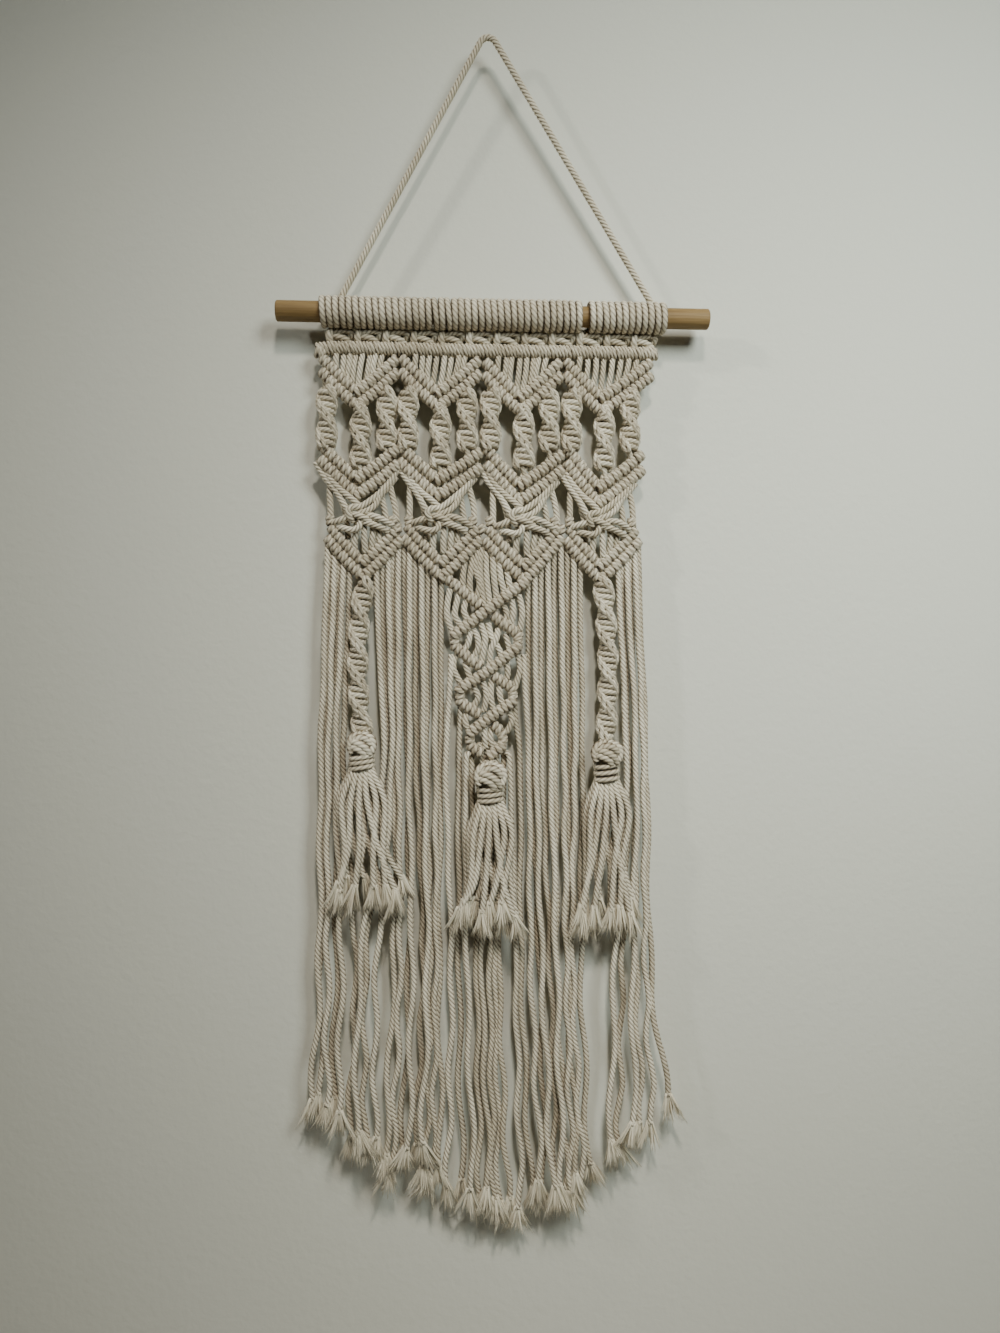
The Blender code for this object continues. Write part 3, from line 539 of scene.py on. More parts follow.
def node(tree, kind, **values):
    made = tree.nodes.new(kind)
    for name, value in values.items():
        if hasattr(made, name):
            setattr(made, name, value)
        else:
            made.inputs[name].default_value = value
    return made


def noise(tree, place, stretch=None, **values):
    """The strength of a noise at place, which is stretched first where stretch is given."""
    if stretch:
        mapping = node(tree, "ShaderNodeMapping", Scale=stretch)
        tree.links.new(place, mapping.inputs["Vector"])
        place = mapping.outputs["Vector"]
    texture = node(tree, "ShaderNodeTexNoise", **values)
    tree.links.new(place, texture.inputs["Vector"])
    return texture.outputs["Fac"]


def ramp(tree, source, stops):
    made = tree.nodes.new("ShaderNodeValToRGB")
    elements = made.color_ramp.elements
    while len(elements) < len(stops):
        elements.new(0.5)
    for element, (place, colour) in zip(elements, stops):
        element.position = place
        element.color = (*colour, 1.0)
    tree.links.new(source, made.inputs["Fac"])
    return made.outputs["Color"]


def darken(tree, share, *colours):
    """The first colour multiplied by the second one, by share."""
    made = node(tree, "ShaderNodeMix", data_type="RGBA", blend_type="MULTIPLY")
    made.inputs["Factor"].default_value = share
    for socket, colour in zip(MIX_COLOURS, colours):
        tree.links.new(colour, made.inputs[socket])
    return made.outputs[MIX_RESULT]


def bump(tree, shader, height, strength, distance):
    made = node(tree, "ShaderNodeBump", Strength=strength, Distance=distance)
    tree.links.new(height, made.inputs["Height"])
    tree.links.new(made.outputs["Normal"], shader.inputs["Normal"])


def new_material(name, surface):
    material = bpy.data.materials.new(name)
    material.use_nodes = True
    tree = material.node_tree
    shader = tree.nodes["Principled BSDF"]
    for socket, value in surface.items():
        shader.inputs[socket].default_value = value
    return material, tree, shader


def object_place(tree):
    """The place on the object, in metres."""
    return node(tree, "ShaderNodeTexCoord").outputs["Object"]


def cotton_material(name, light, dark, streaks):
    """Combed cotton: fibres along each strand, painted shade from the groove attribute, and a tone that
    changes from cord to cord.
    """
    material, tree, shader = new_material(name, COTTON_SURFACE)
    lay = node(tree, "ShaderNodeUVMap", uv_map="lay").outputs["UV"]
    fibres = noise(tree, lay, (46.0, 3.2, 1.0), Scale=1.0, Detail=4.0, Roughness=0.62)
    blotches = noise(tree, object_place(tree), Scale=38.0, Detail=2.0)
    tone = node(tree, "ShaderNodeAttribute", attribute_name="tone")
    groove = node(tree, "ShaderNodeAttribute", attribute_name="groove")
    mix = node(tree, "ShaderNodeMath", operation="MULTIPLY_ADD")
    mix.inputs[1].default_value = 0.55
    tree.links.new(tone.outputs["Fac"], mix.inputs[0])
    tree.links.new(blotches, mix.inputs[2])
    colour = ramp(tree, mix.outputs["Value"], ((0.35, light), (1.15, dark)))
    streak = ramp(tree, fibres, ((0.30, (0.80, 0.78, 0.74)), (0.62, WHITE)))
    # painted shade: low groove values darken the cotton towards its darkest shade colour
    depth = ramp(tree, groove.outputs["Fac"], ((0.68, COTTON_PAINTED_SHADE), (0.99, WHITE)))
    colour = darken(tree, 0.95, darken(tree, streaks, colour, streak), depth)
    tree.links.new(colour, shader.inputs["Base Color"])
    bump(tree, shader, fibres, 0.55, 0.0004)
    return material


def wood_material():
    """Bare pine with a fine straight grain along the dowel."""
    material, tree, shader = new_material("pine", WOOD_SURFACE)
    place = object_place(tree)
    grain = noise(tree, place, (14.0, 260.0, 260.0), Scale=1.0, Detail=6.0, Roughness=0.6, Distortion=0.4)
    pores = noise(tree, place, (60.0, 1500.0, 1500.0), Scale=1.0, Detail=3.0)
    specks = ramp(tree, pores, ((0.30, (0.72, 0.66, 0.6)), (0.5, WHITE)))
    colour = darken(tree, 0.6, ramp(tree, grain, WOOD_GRAIN), specks)
    tree.links.new(colour, shader.inputs["Base Color"])
    bump(tree, shader, pores, 0.25, 0.0003)
    return material


def room_material(name, colour, bumpy):
    """Matt paint, seen only from its front: from behind it is clear."""
    material, tree, shader = new_material(name, PAINT_SURFACE)
    shader.inputs["Base Color"].default_value = (*colour, 1.0)
    if bumpy:
        grain = noise(tree, object_place(tree), Scale=230.0, Detail=2.0, Roughness=0.5)
        bump(tree, shader, grain, 0.22, 0.0012)
    clear = node(tree, "ShaderNodeBsdfTransparent")
    facing = node(tree, "ShaderNodeNewGeometry")
    mix = node(tree, "ShaderNodeMixShader")
    tree.links.new(facing.outputs["Backfacing"], mix.inputs["Fac"])
    tree.links.new(shader.outputs["BSDF"], mix.inputs[1])
    tree.links.new(clear.outputs["BSDF"], mix.inputs[2])
    tree.links.new(mix.outputs["Shader"], tree.nodes["Material Output"].inputs["Surface"])
    return material


# ---- dowel, wraps and hanging cord
def hanger_route():
    """The hanging cord's centreline: up from the left, round the nail, down to the right."""
    left, right = Vector(HANGER_LEFT), Vector(HANGER_RIGHT)
    left_lean = math.atan2(-left.x, -left.z)
    right_lean = math.atan2(right.x, -right.z)
    radius = HANGER_BEND_RADIUS
    centre = Vector((0.0, 0.0, -radius))
    arc = []
    for i in range(HANGER_BEND_STEPS + 1):
        angle = lerp(left_lean - math.pi / 2, math.pi / 2 - right_lean, i / HANGER_BEND_STEPS)
        arc.append(centre + Vector((math.sin(angle), 0.0, math.cos(angle))) * radius)
    up = int((arc[0] - left).length / HANGER_SPACING)
    down = int((right - arc[-1]).length / HANGER_SPACING)
    return ([left.lerp(arc[0], i / up) for i in range(up)] + arc
            + [arc[-1].lerp(right, i / down) for i in range(1, down + 1)])


def make_hanger(material):
    skein = Skein()
    path, along = smooth_path(hanger_route(), HANGER_STEP)
    skein.tube(path, along, CORD / 2 * HANGER_THICK, SECTION, -TAU * along / LAY, HANGER_TONE)
    piece = skein.make("hanging_cord", material, ["hanger"])


def make_wraps(row, material):
    """The turns of cord round the dowel, one by one."""
    skein = Skein()
    pitch = (row.right - row.left) / row.turns
    for turn in range(row.turns):
        x = row.left + pitch * (turn + 0.5)
        lean = TURN_LEAN + jitter(0.25)
        width = TURN_WIDE * (1.0 + jitter(0.04))
        if row.node == "heading_left" and turn in LOW_TURNS:
            lean = LOW_TURN_LEAN
            width = TURN_WIDE * LOW_TURN_WIDE
        radius = TURN_RADIUS + jitter(0.1)
        centre = np.array((x + jitter(0.1), 0.0, DOWEL_Z))
        loop(skein, centre, RIGHT, UP, radius, radius, TURN_THICK, width, lean, WRAP_STEPS, SECTION_WRAP,
             WRAP_FLANK)
    skein.make(row.node + "_turns", material, [row.node])


def hanger_ends(skein):
    for (x, y, z), lean in zip((HANGER_LEFT, HANGER_RIGHT), HANGER_LEANS):
        cord(skein, [(x + dx * lean, y + dy, z + dz) for dx, dy, dz in HANGER_TAIL])


def dress_dowel(material):
    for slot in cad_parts["dowel"].material_slots:
        slot.material = material


# ---- knotted panel
def beyond(start, end, amount):
    """The (x, z) that lies amount beyond end on the line from start."""
    run = Vector(end) - Vector(start)
    return tuple(Vector(end) + run.normalized() * amount)


def at_depth(pair, y):
    return (pair[0], y, pair[1])


def vee_bars(skein, vee, drop, overrun):
    point = (vee.point_x, vee.point_z - drop)
    left = beyond(point, (vee.left_x, vee.left_z - drop), overrun)
    right = beyond(point, (vee.right_x, vee.right_z - drop), overrun)
    sag_x, sag_z = VEE_SAG
    for side, far, overlap in ((-1, left, -POINT_TUCK), (1, right, POINT_OVERRUN)):
        near = beyond(far, point, overlap)
        middle = ((far[0] + near[0]) / 2 + side * sag_x, (far[1] + near[1]) / 2 - sag_z)
        places = [at_depth(far, PANEL_Y), at_depth(middle, PANEL_Y),
                  at_depth(near, PANEL_Y - side * LAY_OVER)]
        hitches(skein, places, radius=VEE_RADIUS[vee.row], lean=-side * BAR_LEAN)


def on_leg(vee, x, drop=0.0):
    """The height of a V's centreline at x."""
    if x < vee.point_x:
        share = (x - vee.left_x) / (vee.point_x - vee.left_x)
        return lerp(vee.left_z, vee.point_z, share) - drop
    share = (x - vee.point_x) / (vee.right_x - vee.point_x)
    return lerp(vee.point_z, vee.right_z, share) - drop


def tie_cords(skein, vee, step):
    """The short lengths of cord that show darkly between one bar and the bar below it."""
    for i in range(TIE_CORDS):
        x = spread((vee.left_x + 1.5, vee.right_x - 1.5), i, TIE_CORDS) + jitter(0.5)
        top = on_leg(vee, x)
        cord(skein, [(x + TIE_LEAN, PANEL_Y + 1.4, top), (x, PANEL_Y + 1.6 + jitter(0.3), top - 0.5 * step),
                     (x - TIE_LEAN, PANEL_Y + 1.4, top - step)], TIE_CORD, HIDDEN_STEP, SECTION_SMALL)


def upper_bars(skein):
    middle = (lerp(TOP_BAR_LEFT[0], TOP_BAR_RIGHT[0], 0.5), lerp(TOP_BAR_LEFT[1], TOP_BAR_RIGHT[1], 0.5))
    top_bar = [at_depth(place, PANEL_Y) for place in (TOP_BAR_CORNER, TOP_BAR_LEFT, middle, TOP_BAR_RIGHT)]
    hitches(skein, top_bar, TOP_BAR_PITCH, TOP_BAR_RADIUS, TOP_BAR_LEAN, TOP_BAR_DEPTH, pairing=0.0,
            flank=TOP_FLANK)
    for vee in VEES:
        vee_bars(skein, vee, 0.0, UPPER_VEE_OVERRUN)
        if vee.row != "D":
            vee_bars(skein, vee, VEE_STEP[vee.row], LOWER_VEE_OVERRUN[vee.row])
            tie_cords(skein, vee, VEE_STEP[vee.row])


# Cords of a small square knot: thickness, and places as (x from the knot's left, depth from HEADING_Y, z)
HEADING_PATHS = (
    (4.2, ((1.6, 1, -170.4), (0.6, -2.2, -171.8), (-0.5, -3.7, -174.3), (-0.8, -3.4, -176.6),
           (0.2, -0.8, -179.6))),
    (3.9, ((0.4, 0, -172.8), (2.6, -2.3, -173.5), (5.8, -3.1, -172.9), (9.2, -3, -172.5),
           (11.9, -2.2, -173.4), (11.9, -1.4, -175.5), (9, 0.8, -176.6))),
    (3.8, ((0.2, 0, -174.8), (2.4, -2.6, -175.9), (5.2, -3.2, -176.4), (8.4, -2.4, -177.4),
           (11.2, 0.2, -179))),
    (3.6, ((4.4, 2.6, -168), (4.6, 1.8, -175), (4.5, 1.6, -181))),
    (3.6, ((8.4, 2.6, -168), (8.6, 1.8, -175), (8.5, 1.6, -181))),
)


def heading_knots(skein):
    """A row of small square knots, set back between the wraps and the top bar."""
    for i in range(HEADING_KNOTS):
        x = spread(HEADING_KNOT_X, i, HEADING_KNOTS)
        lift = jitter(0.2)
        for width, row in HEADING_PATHS:
            cord(skein, [(x + dx + jitter(0.2), HEADING_Y + dy + jitter(0.2), z + lift + jitter(0.15))
                         for dx, dy, z in row], width, section=SECTION_KNOT, shade=HEADING_SHADE)


FIRST_CORDS = 8
FIRST_CORD = 3.4  # thickness of these cords
FIRST_CORD_ENDS = (7.6, -6.6)  # from a V's left and right end to the first and last of them
FIRST_CORD_REACH = 3.5  # how far they lean to the left on their way down
FIRST_CORD_LEANS = (0.15, 0.2)  # the first one's share of this reach, and what each next one adds
FIRST_CORD_Y = (3.4, 0.8)  # depth of the first one, and how much deeper each second one lies


def first_row_cords(skein):
    """Short leaning cords from the top bar down to the first V of each column."""
    lean, more = FIRST_CORD_LEANS
    front, deeper = FIRST_CORD_Y
    for vee in FIRST_ROW:
        ends = (vee.left_x + FIRST_CORD_ENDS[0], vee.right_x + FIRST_CORD_ENDS[1])
        for i in range(FIRST_CORDS):
            top_x = spread(ends, i, FIRST_CORDS) + jitter(0.3)
            foot_x = top_x - FIRST_CORD_REACH * min(1.0, lean + more * i) + jitter(0.4)
            foot_z = on_leg(vee, foot_x) + 0.3
            y = front + (i % 2) * deeper + jitter(0.3)
            middle = (lerp(top_x, foot_x, 0.45) + jitter(0.5), y - 1.2, lerp(TOP_BAR_LEFT[1], foot_z, 0.5))
            cord(skein, [(top_x, y + 0.6, TOP_BAR_LEFT[1] - 0.5), middle, (foot_x, y + 0.8, foot_z)],
                 FIRST_CORD)


# The cords that show on one half knot: a rung, and a strand down each edge, each of them in front and
# behind. Places are (beside the sinnet's middle, in front of it, half knots down from this one's middle).
RUNG = ((-4.2, 0.8, -0.14), (-2.8, 2.4, -0.05), (0, 2.9, 0), (2.8, 2.4, 0.05), (4.2, 0.8, 0.14))
LEAVING = ((-3.4, 1, -0.95), (-4.4, 2.1, -0.5), (-5.1, 1.7, 0), (-5.3, 0.5, 0.5), (-4.3, -0.8, 0.9))
RETURNING = ((4.3, -0.8, -0.9), (5.3, 0.5, -0.5), (5.1, 1.7, 0), (4.4, 2, 0.5), (3.4, 0.8, 0.9))


def spiral(skein, centre_of, top, bottom, front_z):
    """A sinnet of half knots round two filler cords; every knot turns a little further."""
    knots = int(round((top - bottom) / HALF_KNOT))
    height = (top - bottom) / knots

    def place(level, side, front):
        z = top - level * height
        turn = HALF_KNOT_TURN * (front_z - z) / HALF_KNOT
        x, y = centre_of(z)
        return (x + side * math.cos(turn) + front * math.sin(turn),
                y + side * math.sin(turn) - front * math.cos(turn), z)

    for knot in range(knots):
        for strand, width in ((RUNG, RUNG_CORD), (LEAVING, EDGE_CORD), (RETURNING, EDGE_CORD)):
            for face in (1, -1):
                size = face * (1.0 + jitter(0.04))
                slip = knot + 0.5 + jitter(0.05)
                cord(skein, [place(slip + level, side * size, front * size) for side, front, level in strand],
                     width * (1.0 + jitter(0.04)), SHORT_STEP, SECTION_SMALL)
    for side in (-FILLER_SIDE, FILLER_SIDE):
        points = [(centre_of(top)[0] + side, SINNET_Y + 1.0, top + LEAD)]
        points += [place(level, side, 0.0) for level in np.linspace(0.0, knots, knots)]
        points += [(centre_of(bottom)[0] + side, SINNET_Y + 1.0, bottom - LEAD)]
        cord(skein, points, FILLER_CORD, HIDDEN_STEP, SECTION_SMALL)


def short_sinnets(skein):
    for vee in FIRST_ROW:
        for row in SINNETS:
            x = vee.point_x + row.offset + jitter(0.3)
            spiral(skein, lambda z, x=x: (x, SINNET_Y), row.top, row.bottom, row.front_z + jitter(1.2))


# The cords between the second row and the last V of a column, from the last V's point: (x, y, z) rows
CROSSING_PATHS = (
    ((-27.2, 3.6, -249.5), (-22.4, 3.4, -257.8), (-15.6, 2, -266.8), (-10.6, 0.8, -274.6), (-6.6, 2, -281)),
    ((-22.6, 3.4, -252.4), (-18.2, 2.4, -260.2), (-12.2, 1.2, -266.6), (-5.6, 0.4, -272), (0.4, 1.4, -277.6)),
    ((20.2, 3.8, -253.4), (15, 2.4, -261.8), (8.4, 0.6, -269), (-1, -1, -276.2), (-5.4, -2.8, -276.8),
     (-8, -3, -278.8), (-7.2, -2.2, -281.8), (-4.8, -0.4, -284.6)),
    ((19.4, 4.4, -257.8), (14.4, 3, -264.2), (10.2, 1.4, -269.4), (7.4, -0.4, -275.2), (3.2, -2, -278.6),
     (-1.4, -1.6, -280.2), (-6, 0.6, -281.4)),
    ((-7, 1.2, -280.4), (-3.8, -2.4, -281.2), (0.6, -3.4, -282.8), (4.6, -2, -284.6), (8.6, 1, -286)),
    ((0.4, 0.8, -280.6), (3.9, -2, -281.4), (9, -3, -282.4), (13.6, -1.6, -284.4), (17.4, 1.8, -286.6)),
    ((-3.2, 1.2, -283.6), (0.6, -1.8, -285), (6, -2.4, -286.4), (11.2, -0.8, -288.2), (14.6, 2, -290.2)),
    ((-17.4, 2.2, -285.4), (-13.8, -0.4, -284.2), (-9.4, -0.8, -282.4), (-6, 1.2, -281.6)),
    ((-0.6, 1.6, -283.2), (-1.2, -1.4, -285.4), (-2, -2.2, -288), (-5.4, -1.8, -289.8), (-10, -0.4, -288.8),
     (-14, 2.2, -288)),
    ((-18.6, 5, -257), (-19, 4.4, -268), (-18.8, 3.8, -276), (-18.6, 3.4, -285)),
    ((10.4, 5.4, -262), (11.4, 5, -270.5), (12.6, 4.2, -277), (14, 4, -286)),
    ((15.6, 4.8, -262.5), (17.2, 4, -268.5), (18.8, 3.2, -275), (19.8, 3.4, -284.5)),
    ((-13.5, 5.6, -268), (-11.2, 5, -275), (-9.6, 4.4, -282), (-8.6, 4.8, -294)),
    ((0.6, 2.6, -284), (1.1, 0.6, -289.6), (1.3, 0.8, -295), (1.6, 3, -302.5)),
    ((-3.6, 3.4, -284.5), (-4, 2, -291.4), (-4.6, 2.2, -295.4), (-5, 4, -300.6)),
    ((5.2, 3.2, -284.5), (5.8, 1.4, -290), (5.6, 2, -295), (5, 3.8, -300.6)),
    ((9.2, 3.6, -286), (9.6, 2.6, -290.8), (9, 3.6, -296)),
)


CROSSING_FOOT_Z = -285.0  # below this, their places follow the last V's point
CROSSING_RISE = 30.0  # over this height they come to follow the upper V's point
CROSSING_SHIFT = 3.3  # how far left of the last V's point that lies in the first column


def crossing_cords(skein):
    for upper, last in zip(SECOND_ROW, LAST_ROW):
        drop = (upper.point_z - SECOND_ROW[0].point_z) / 2
        shift = upper.point_x - last.point_x + CROSSING_SHIFT
        for row in CROSSING_PATHS:
            points = []
            for x, y, z in row:
                share = min(1.0, max(0.0, (z - CROSSING_FOOT_Z) / CROSSING_RISE))
                points.append((last.point_x + x + shift * share + jitter(0.25), y + jitter(0.2),
                               z + drop + jitter(0.25)))
            cord(skein, points, PATH_CORD)


def knob(skein, x, y, z, size):
    """A small tight knot: turns of cord round an upright one."""
    hitches(skein, [(x - 0.4, y, z + size), (x, y, z), (x + 0.3, y, z - size)], 2.5, size + 0.35, 0.5)


Knots = namedtuple("Knots", "places y z size")
SMALL_KNOTS = (
    Knots((-92.2, -55.7, -46.4, -8.8, 1.2, 39.5, 48.4, 85.6), PANEL_Y - 0.2, -283.4, 2.7),
    Knots((-52.6, -3.5, 43.6), PANEL_Y - 0.6, -288.0, 2.4),
)
POINT_KNOT = (1.5, -2.2, -2.0)  # from the point of each V in the first row to the knot under it
POINT_KNOT_SIZE = 3.2


def small_knots(skein):
    for row in SMALL_KNOTS:
        for x in row.places:
            knob(skein, x, row.y, row.z, row.size)
    x, y, z = POINT_KNOT
    for vee in FIRST_ROW:
        knob(skein, vee.point_x + x, PANEL_Y + y, vee.point_z - VEE_STEP["A"] + z, POINT_KNOT_SIZE)


# ---- last bars, lattice and long sinnets
def last_bars(skein):
    for vee in LAST_ROW:
        vee_bars(skein, vee, VEE_STEP["D"], LOWER_VEE_OVERRUN["D"])


def long_sinnets(skein):
    for row in LONG_SINNETS:
        middle = (row.middle_z - row.top_z) / (row.bottom_z - row.top_z)
        sag = row.middle_x - lerp(row.top_x, row.bottom_x, middle)

        def centre_of(z, row=row, middle=middle, sag=sag):
            share = (z - row.top_z) / (row.bottom_z - row.top_z)
            bend = share * (1.0 - share) / (middle * (1.0 - middle))
            return lerp(row.top_x, row.bottom_x, share) + sag * bend, SINNET_Y

        spiral(skein, centre_of, row.top_z, row.bottom_z, row.front_z)


def lattice_bar(skein, points, layer, falls_left):
    hitches(skein, [(x, layer, z) for x, z in points], LATTICE_PITCH, LATTICE_RADIUS,
            -BAR_LEAN if falls_left else BAR_LEAN, half=LATTICE_LOOP)


def beside_corner(row, side, level):
    """Where a bar leaves a corner, and its next place. side is -1 for left, and level is -1 for below."""
    bend_x, bend_z = CORNER_BEND
    x = LATTICE_X + side * row.half_width
    return [(x, row.corner_z + level * CORNER_HALF), (x - side * bend_x, row.corner_z + level * bend_z)]


def lattice_bars(skein):
    """Two bars that cross three times; the one that falls to the left lies over the other each time."""
    left, right = [LATTICE_START[0]], [LATTICE_START[1]]
    half, size = CORNER_KNOT
    thicker, lean, loop_half = CORNER_LOOP
    over, under = LATTICE_LAYERS
    for row in LATTICE:
        crossing = (LATTICE_X, row.crossing_z)
        to_left, to_right = (beside_corner(row, side, 1)[::-1] for side in (-1, 1))
        lattice_bar(skein, right + [crossing] + to_left, over, True)
        lattice_bar(skein, left + [beyond(left[-1], crossing, -LATTICE_TUCK)], under, False)
        lattice_bar(skein, [beyond(to_right[0], crossing, -LATTICE_TUCK)] + to_right, under, False)
        for x in (to_left[1][0], to_right[1][0]):
            places = [(x, PANEL_Y, row.corner_z + level * half) for level in (1, 0, -1)]
            hitches(skein, places, half, size + thicker, lean, half=loop_half)
        left, right = (beside_corner(row, side, -1) for side in (-1, 1))
    lattice_bar(skein, right + [LATTICE_FOOT[0]], over, True)
    lattice_bar(skein, left + [LATTICE_FOOT[1]], under, False)


# The short cords in the lattice's spaces and beside it, as rows of (x, depth from the panel's middle, z)
LATTICE_PATHS = (
    ((-13.6, 1.6, -307.5), (-14.1, 0.4, -311.5), (-14.8, 0.2, -319), (-14.2, 1.8, -326)),
    ((-8.8, 1.6, -303.5), (-9.4, 0.2, -308), (-10.8, 0, -320), (-9.6, 1.8, -329.5)),
    ((-5.6, 1.6, -299.5), (-6.6, 0.2, -304.5), (-7.4, 0.2, -312), (-4.9, 0.2, -320.5), (-7.4, 1.8, -331.5)),
    ((-2.8, 1.8, -295), (-3.9, 0.6, -303), (-4.4, 0.6, -313), (-2, 1.8, -334)),
    ((-1, 2.4, -295), (-0.8, 1.2, -306), (-0.5, 1, -319), (1.6, 2, -335)),
    ((2.4, 1.8, -299), (2.9, 0.3, -306), (3.5, 0.1, -316.5), (6, 1.8, -332.5)),
    ((6.2, 1.8, -304), (7, 0.3, -310), (8.2, 0.1, -319), (11.6, 1.8, -329)),
    ((11, 1.8, -309), (11.8, 0.4, -315), (12.9, 0.2, -320.5), (15.4, 1.8, -325.5)),
    ((-10.4, 1.6, -348.5), (-11, 0.4, -353), (-11.8, 0.8, -356), (-14, 1.8, -359.5)),
    ((-8.4, 1.6, -347), (-5.8, 0, -352.4), (-5.6, 0.2, -358), (-8.2, 1.8, -364)),
    ((-4, 1.6, -343.5), (-1.6, -0.2, -352), (-2.2, 0.2, -358.8), (-3.8, 1.8, -368)),
    ((0.4, 1.8, -343.5), (2.4, 0.8, -351.5), (6.6, 0.4, -358.8), (9.2, 1.8, -365)),
    ((6.4, 1.8, -347), (4.6, -0.6, -353.4), (1.8, -0.2, -359), (1, 1.8, -368)),
    ((11, 2.6, -349.5), (12, 2, -355), (13.4, 2.6, -360.5)),
    ((-9.4, 1.6, -380), (-5.9, 0, -385.5), (-6.1, 0.2, -389), (-8.8, 1.8, -393.5)),
    ((-3.4, 1.6, -376.5), (-0.9, -0.2, -386), (-2.4, 1.8, -395.5)),
    ((2.2, 1.8, -376.5), (1.9, 0, -387), (3.6, 1.8, -395.5)),
    ((7.2, 1.8, -378.5), (7.2, 0.6, -386), (9.4, 1.8, -393)),
    ((-2.6, 1.8, -404.5), (-2, 0, -410.5), (-1, 1.8, -417.5)),
    ((2.2, 1.8, -404.5), (1.6, 0, -412), (4.2, 1.8, -418)),
    ((-22, 1.2, -323), (-23.8, 0.6, -333), (-23.8, 0.4, -341.3), (-20.6, 1.6, -349.5)),
    ((-17.2, 1.2, -327), (-19, 0.6, -334.5), (-19, 0.4, -339.8), (-15.6, 1.6, -345.5)),
    ((-12.8, 1.6, -330.5), (-14.2, 0.8, -336), (-11.6, 1.6, -342.5)),
    ((9.6, 1.8, -333), (11.2, 0.8, -338.4), (8.6, 1.8, -344)),
    ((14.2, 1.6, -329.5), (15.3, 0.4, -337.6), (13.2, 1.8, -346.5)),
    ((18.6, 1.4, -326.5), (20.6, 0.2, -337), (19, 1.6, -348)),
    ((-19.4, 2, -362), (-20.2, 0.8, -370.4), (-15, 1.8, -381)),
    ((-13.4, 2.4, -366.5), (-12, 1.4, -371.5), (-9.8, 1.8, -377.5)),
    ((10.6, 2.4, -366), (12, 1.2, -371.4), (11.2, 1.8, -376.5)),
    ((17.8, 2, -362), (19.2, 0.6, -371), (16.4, 1.8, -381.5)),
    ((-11.8, 2, -395.5), (-13.4, 0.6, -402), (-9.8, 1.8, -408)),
    ((12, 2, -394.5), (14.2, 0.6, -401), (11.4, 1.8, -408)),
)


def lattice_cords(skein):
    for row in LATTICE_PATHS:
        cord(skein, [(x + jitter(0.2), PANEL_Y + y, z + jitter(0.2)) for x, y, z in row], PATH_CORD)


# The pieces of the panel and of the fringe's upper part, with what goes into each
PANEL_PIECES = (
    ("panel_bars", "panel", (upper_bars,)),
    ("panel_cords", "panel", (hanger_ends, heading_knots, first_row_cords, crossing_cords, small_knots)),
    ("panel_spirals", "panel", (short_sinnets,)),
    ("hem_bars", "fringe", (last_bars, lattice_bars, lattice_cords, long_sinnets)),
)


# ---- fringe
def hem_height(x):
    """The height of the last bars at x."""
    nearest = min(LAST_ROW, key=lambda vee: abs(x - (vee.left_x + vee.right_x) / 2))
    return on_leg(nearest, x, VEE_STEP["D"])


def fringe_route(group, index, serial):
    """One long cord: out of its bar, down in its own layer, to its tip, with gentle waves."""
    layer = FRINGE_LAYERS[1 if group.behind else serial % 2]
    root_x = spread(group.root_x, index, group.cords)
    root_z = spread(group.root_z, index, group.cords) if group.root_z else hem_height(root_x)
    middle_x, low_x, tip_x, tip_z = (
        spread(pair, index, group.cords) + uneven(serial + shift, size)
        for pair, shift, size in ((group.middle_x, 0, 1.1), (group.low_x, 11, 1.3), (group.tip_x, 23, 1.2),
                                  (group.tip_z, 31, 6.0)))
    marks = [
        (root_x, FRINGE_ROOT, root_z),
        (lerp(root_x, middle_x, SETTLE), layer, lerp(root_z, MIDDLE_Z, SETTLE) - 2.0),
        (middle_x, layer, MIDDLE_Z),
        (low_x, layer, LOW_Z),
        (lerp(low_x, tip_x, 0.8), layer, tip_z + FRAY_LENGTH),
    ]
    path, along = smooth_path(marks, FRINGE_SPACING)
    share = along / along[-1]
    wave = WAVE[0] + WAVE[1] * share ** 2
    beat = TAU * along / (WAVE_LENGTH + uneven(serial + 5, 14.0)) + serial * 1.9
    drift = FRINGE_DRIFT * share ** 2 * (0.7 + uneven(serial + 2, 0.45))
    path[:, 0] += wave * np.sin(beat) * np.minimum(1.0, share * 4)
    path[:, 1] += 0.35 * wave * np.cos(beat * 0.8) - drift
    return path, tip_z


def make_fringe(material, fray_material):
    frays = Skein()
    serial = 0
    for name, groups in FRINGE_PIECES.items():
        skein = Skein()
        for group in groups:
            for index in range(group.cords):
                path, tip_z = fringe_route(group, index, serial)
                # cords in the back layer get a darker tone as painted shade
                cord(skein, path, step=FRINGE_STEP, flank=HANGING_FLANK,
                     tone=rng.uniform(*HANGING_TONES_AND_SHADE[1 if group.behind else serial % 2]))
                fray(frays, path[-1], path[-1] - path[-2], path[-1][2] - tip_z + 1.5)
                serial += 1
        skein.make("fringe_" + name, material, ["fringe"])
    frays.make("fringe_ends", fray_material, ["fringe"])


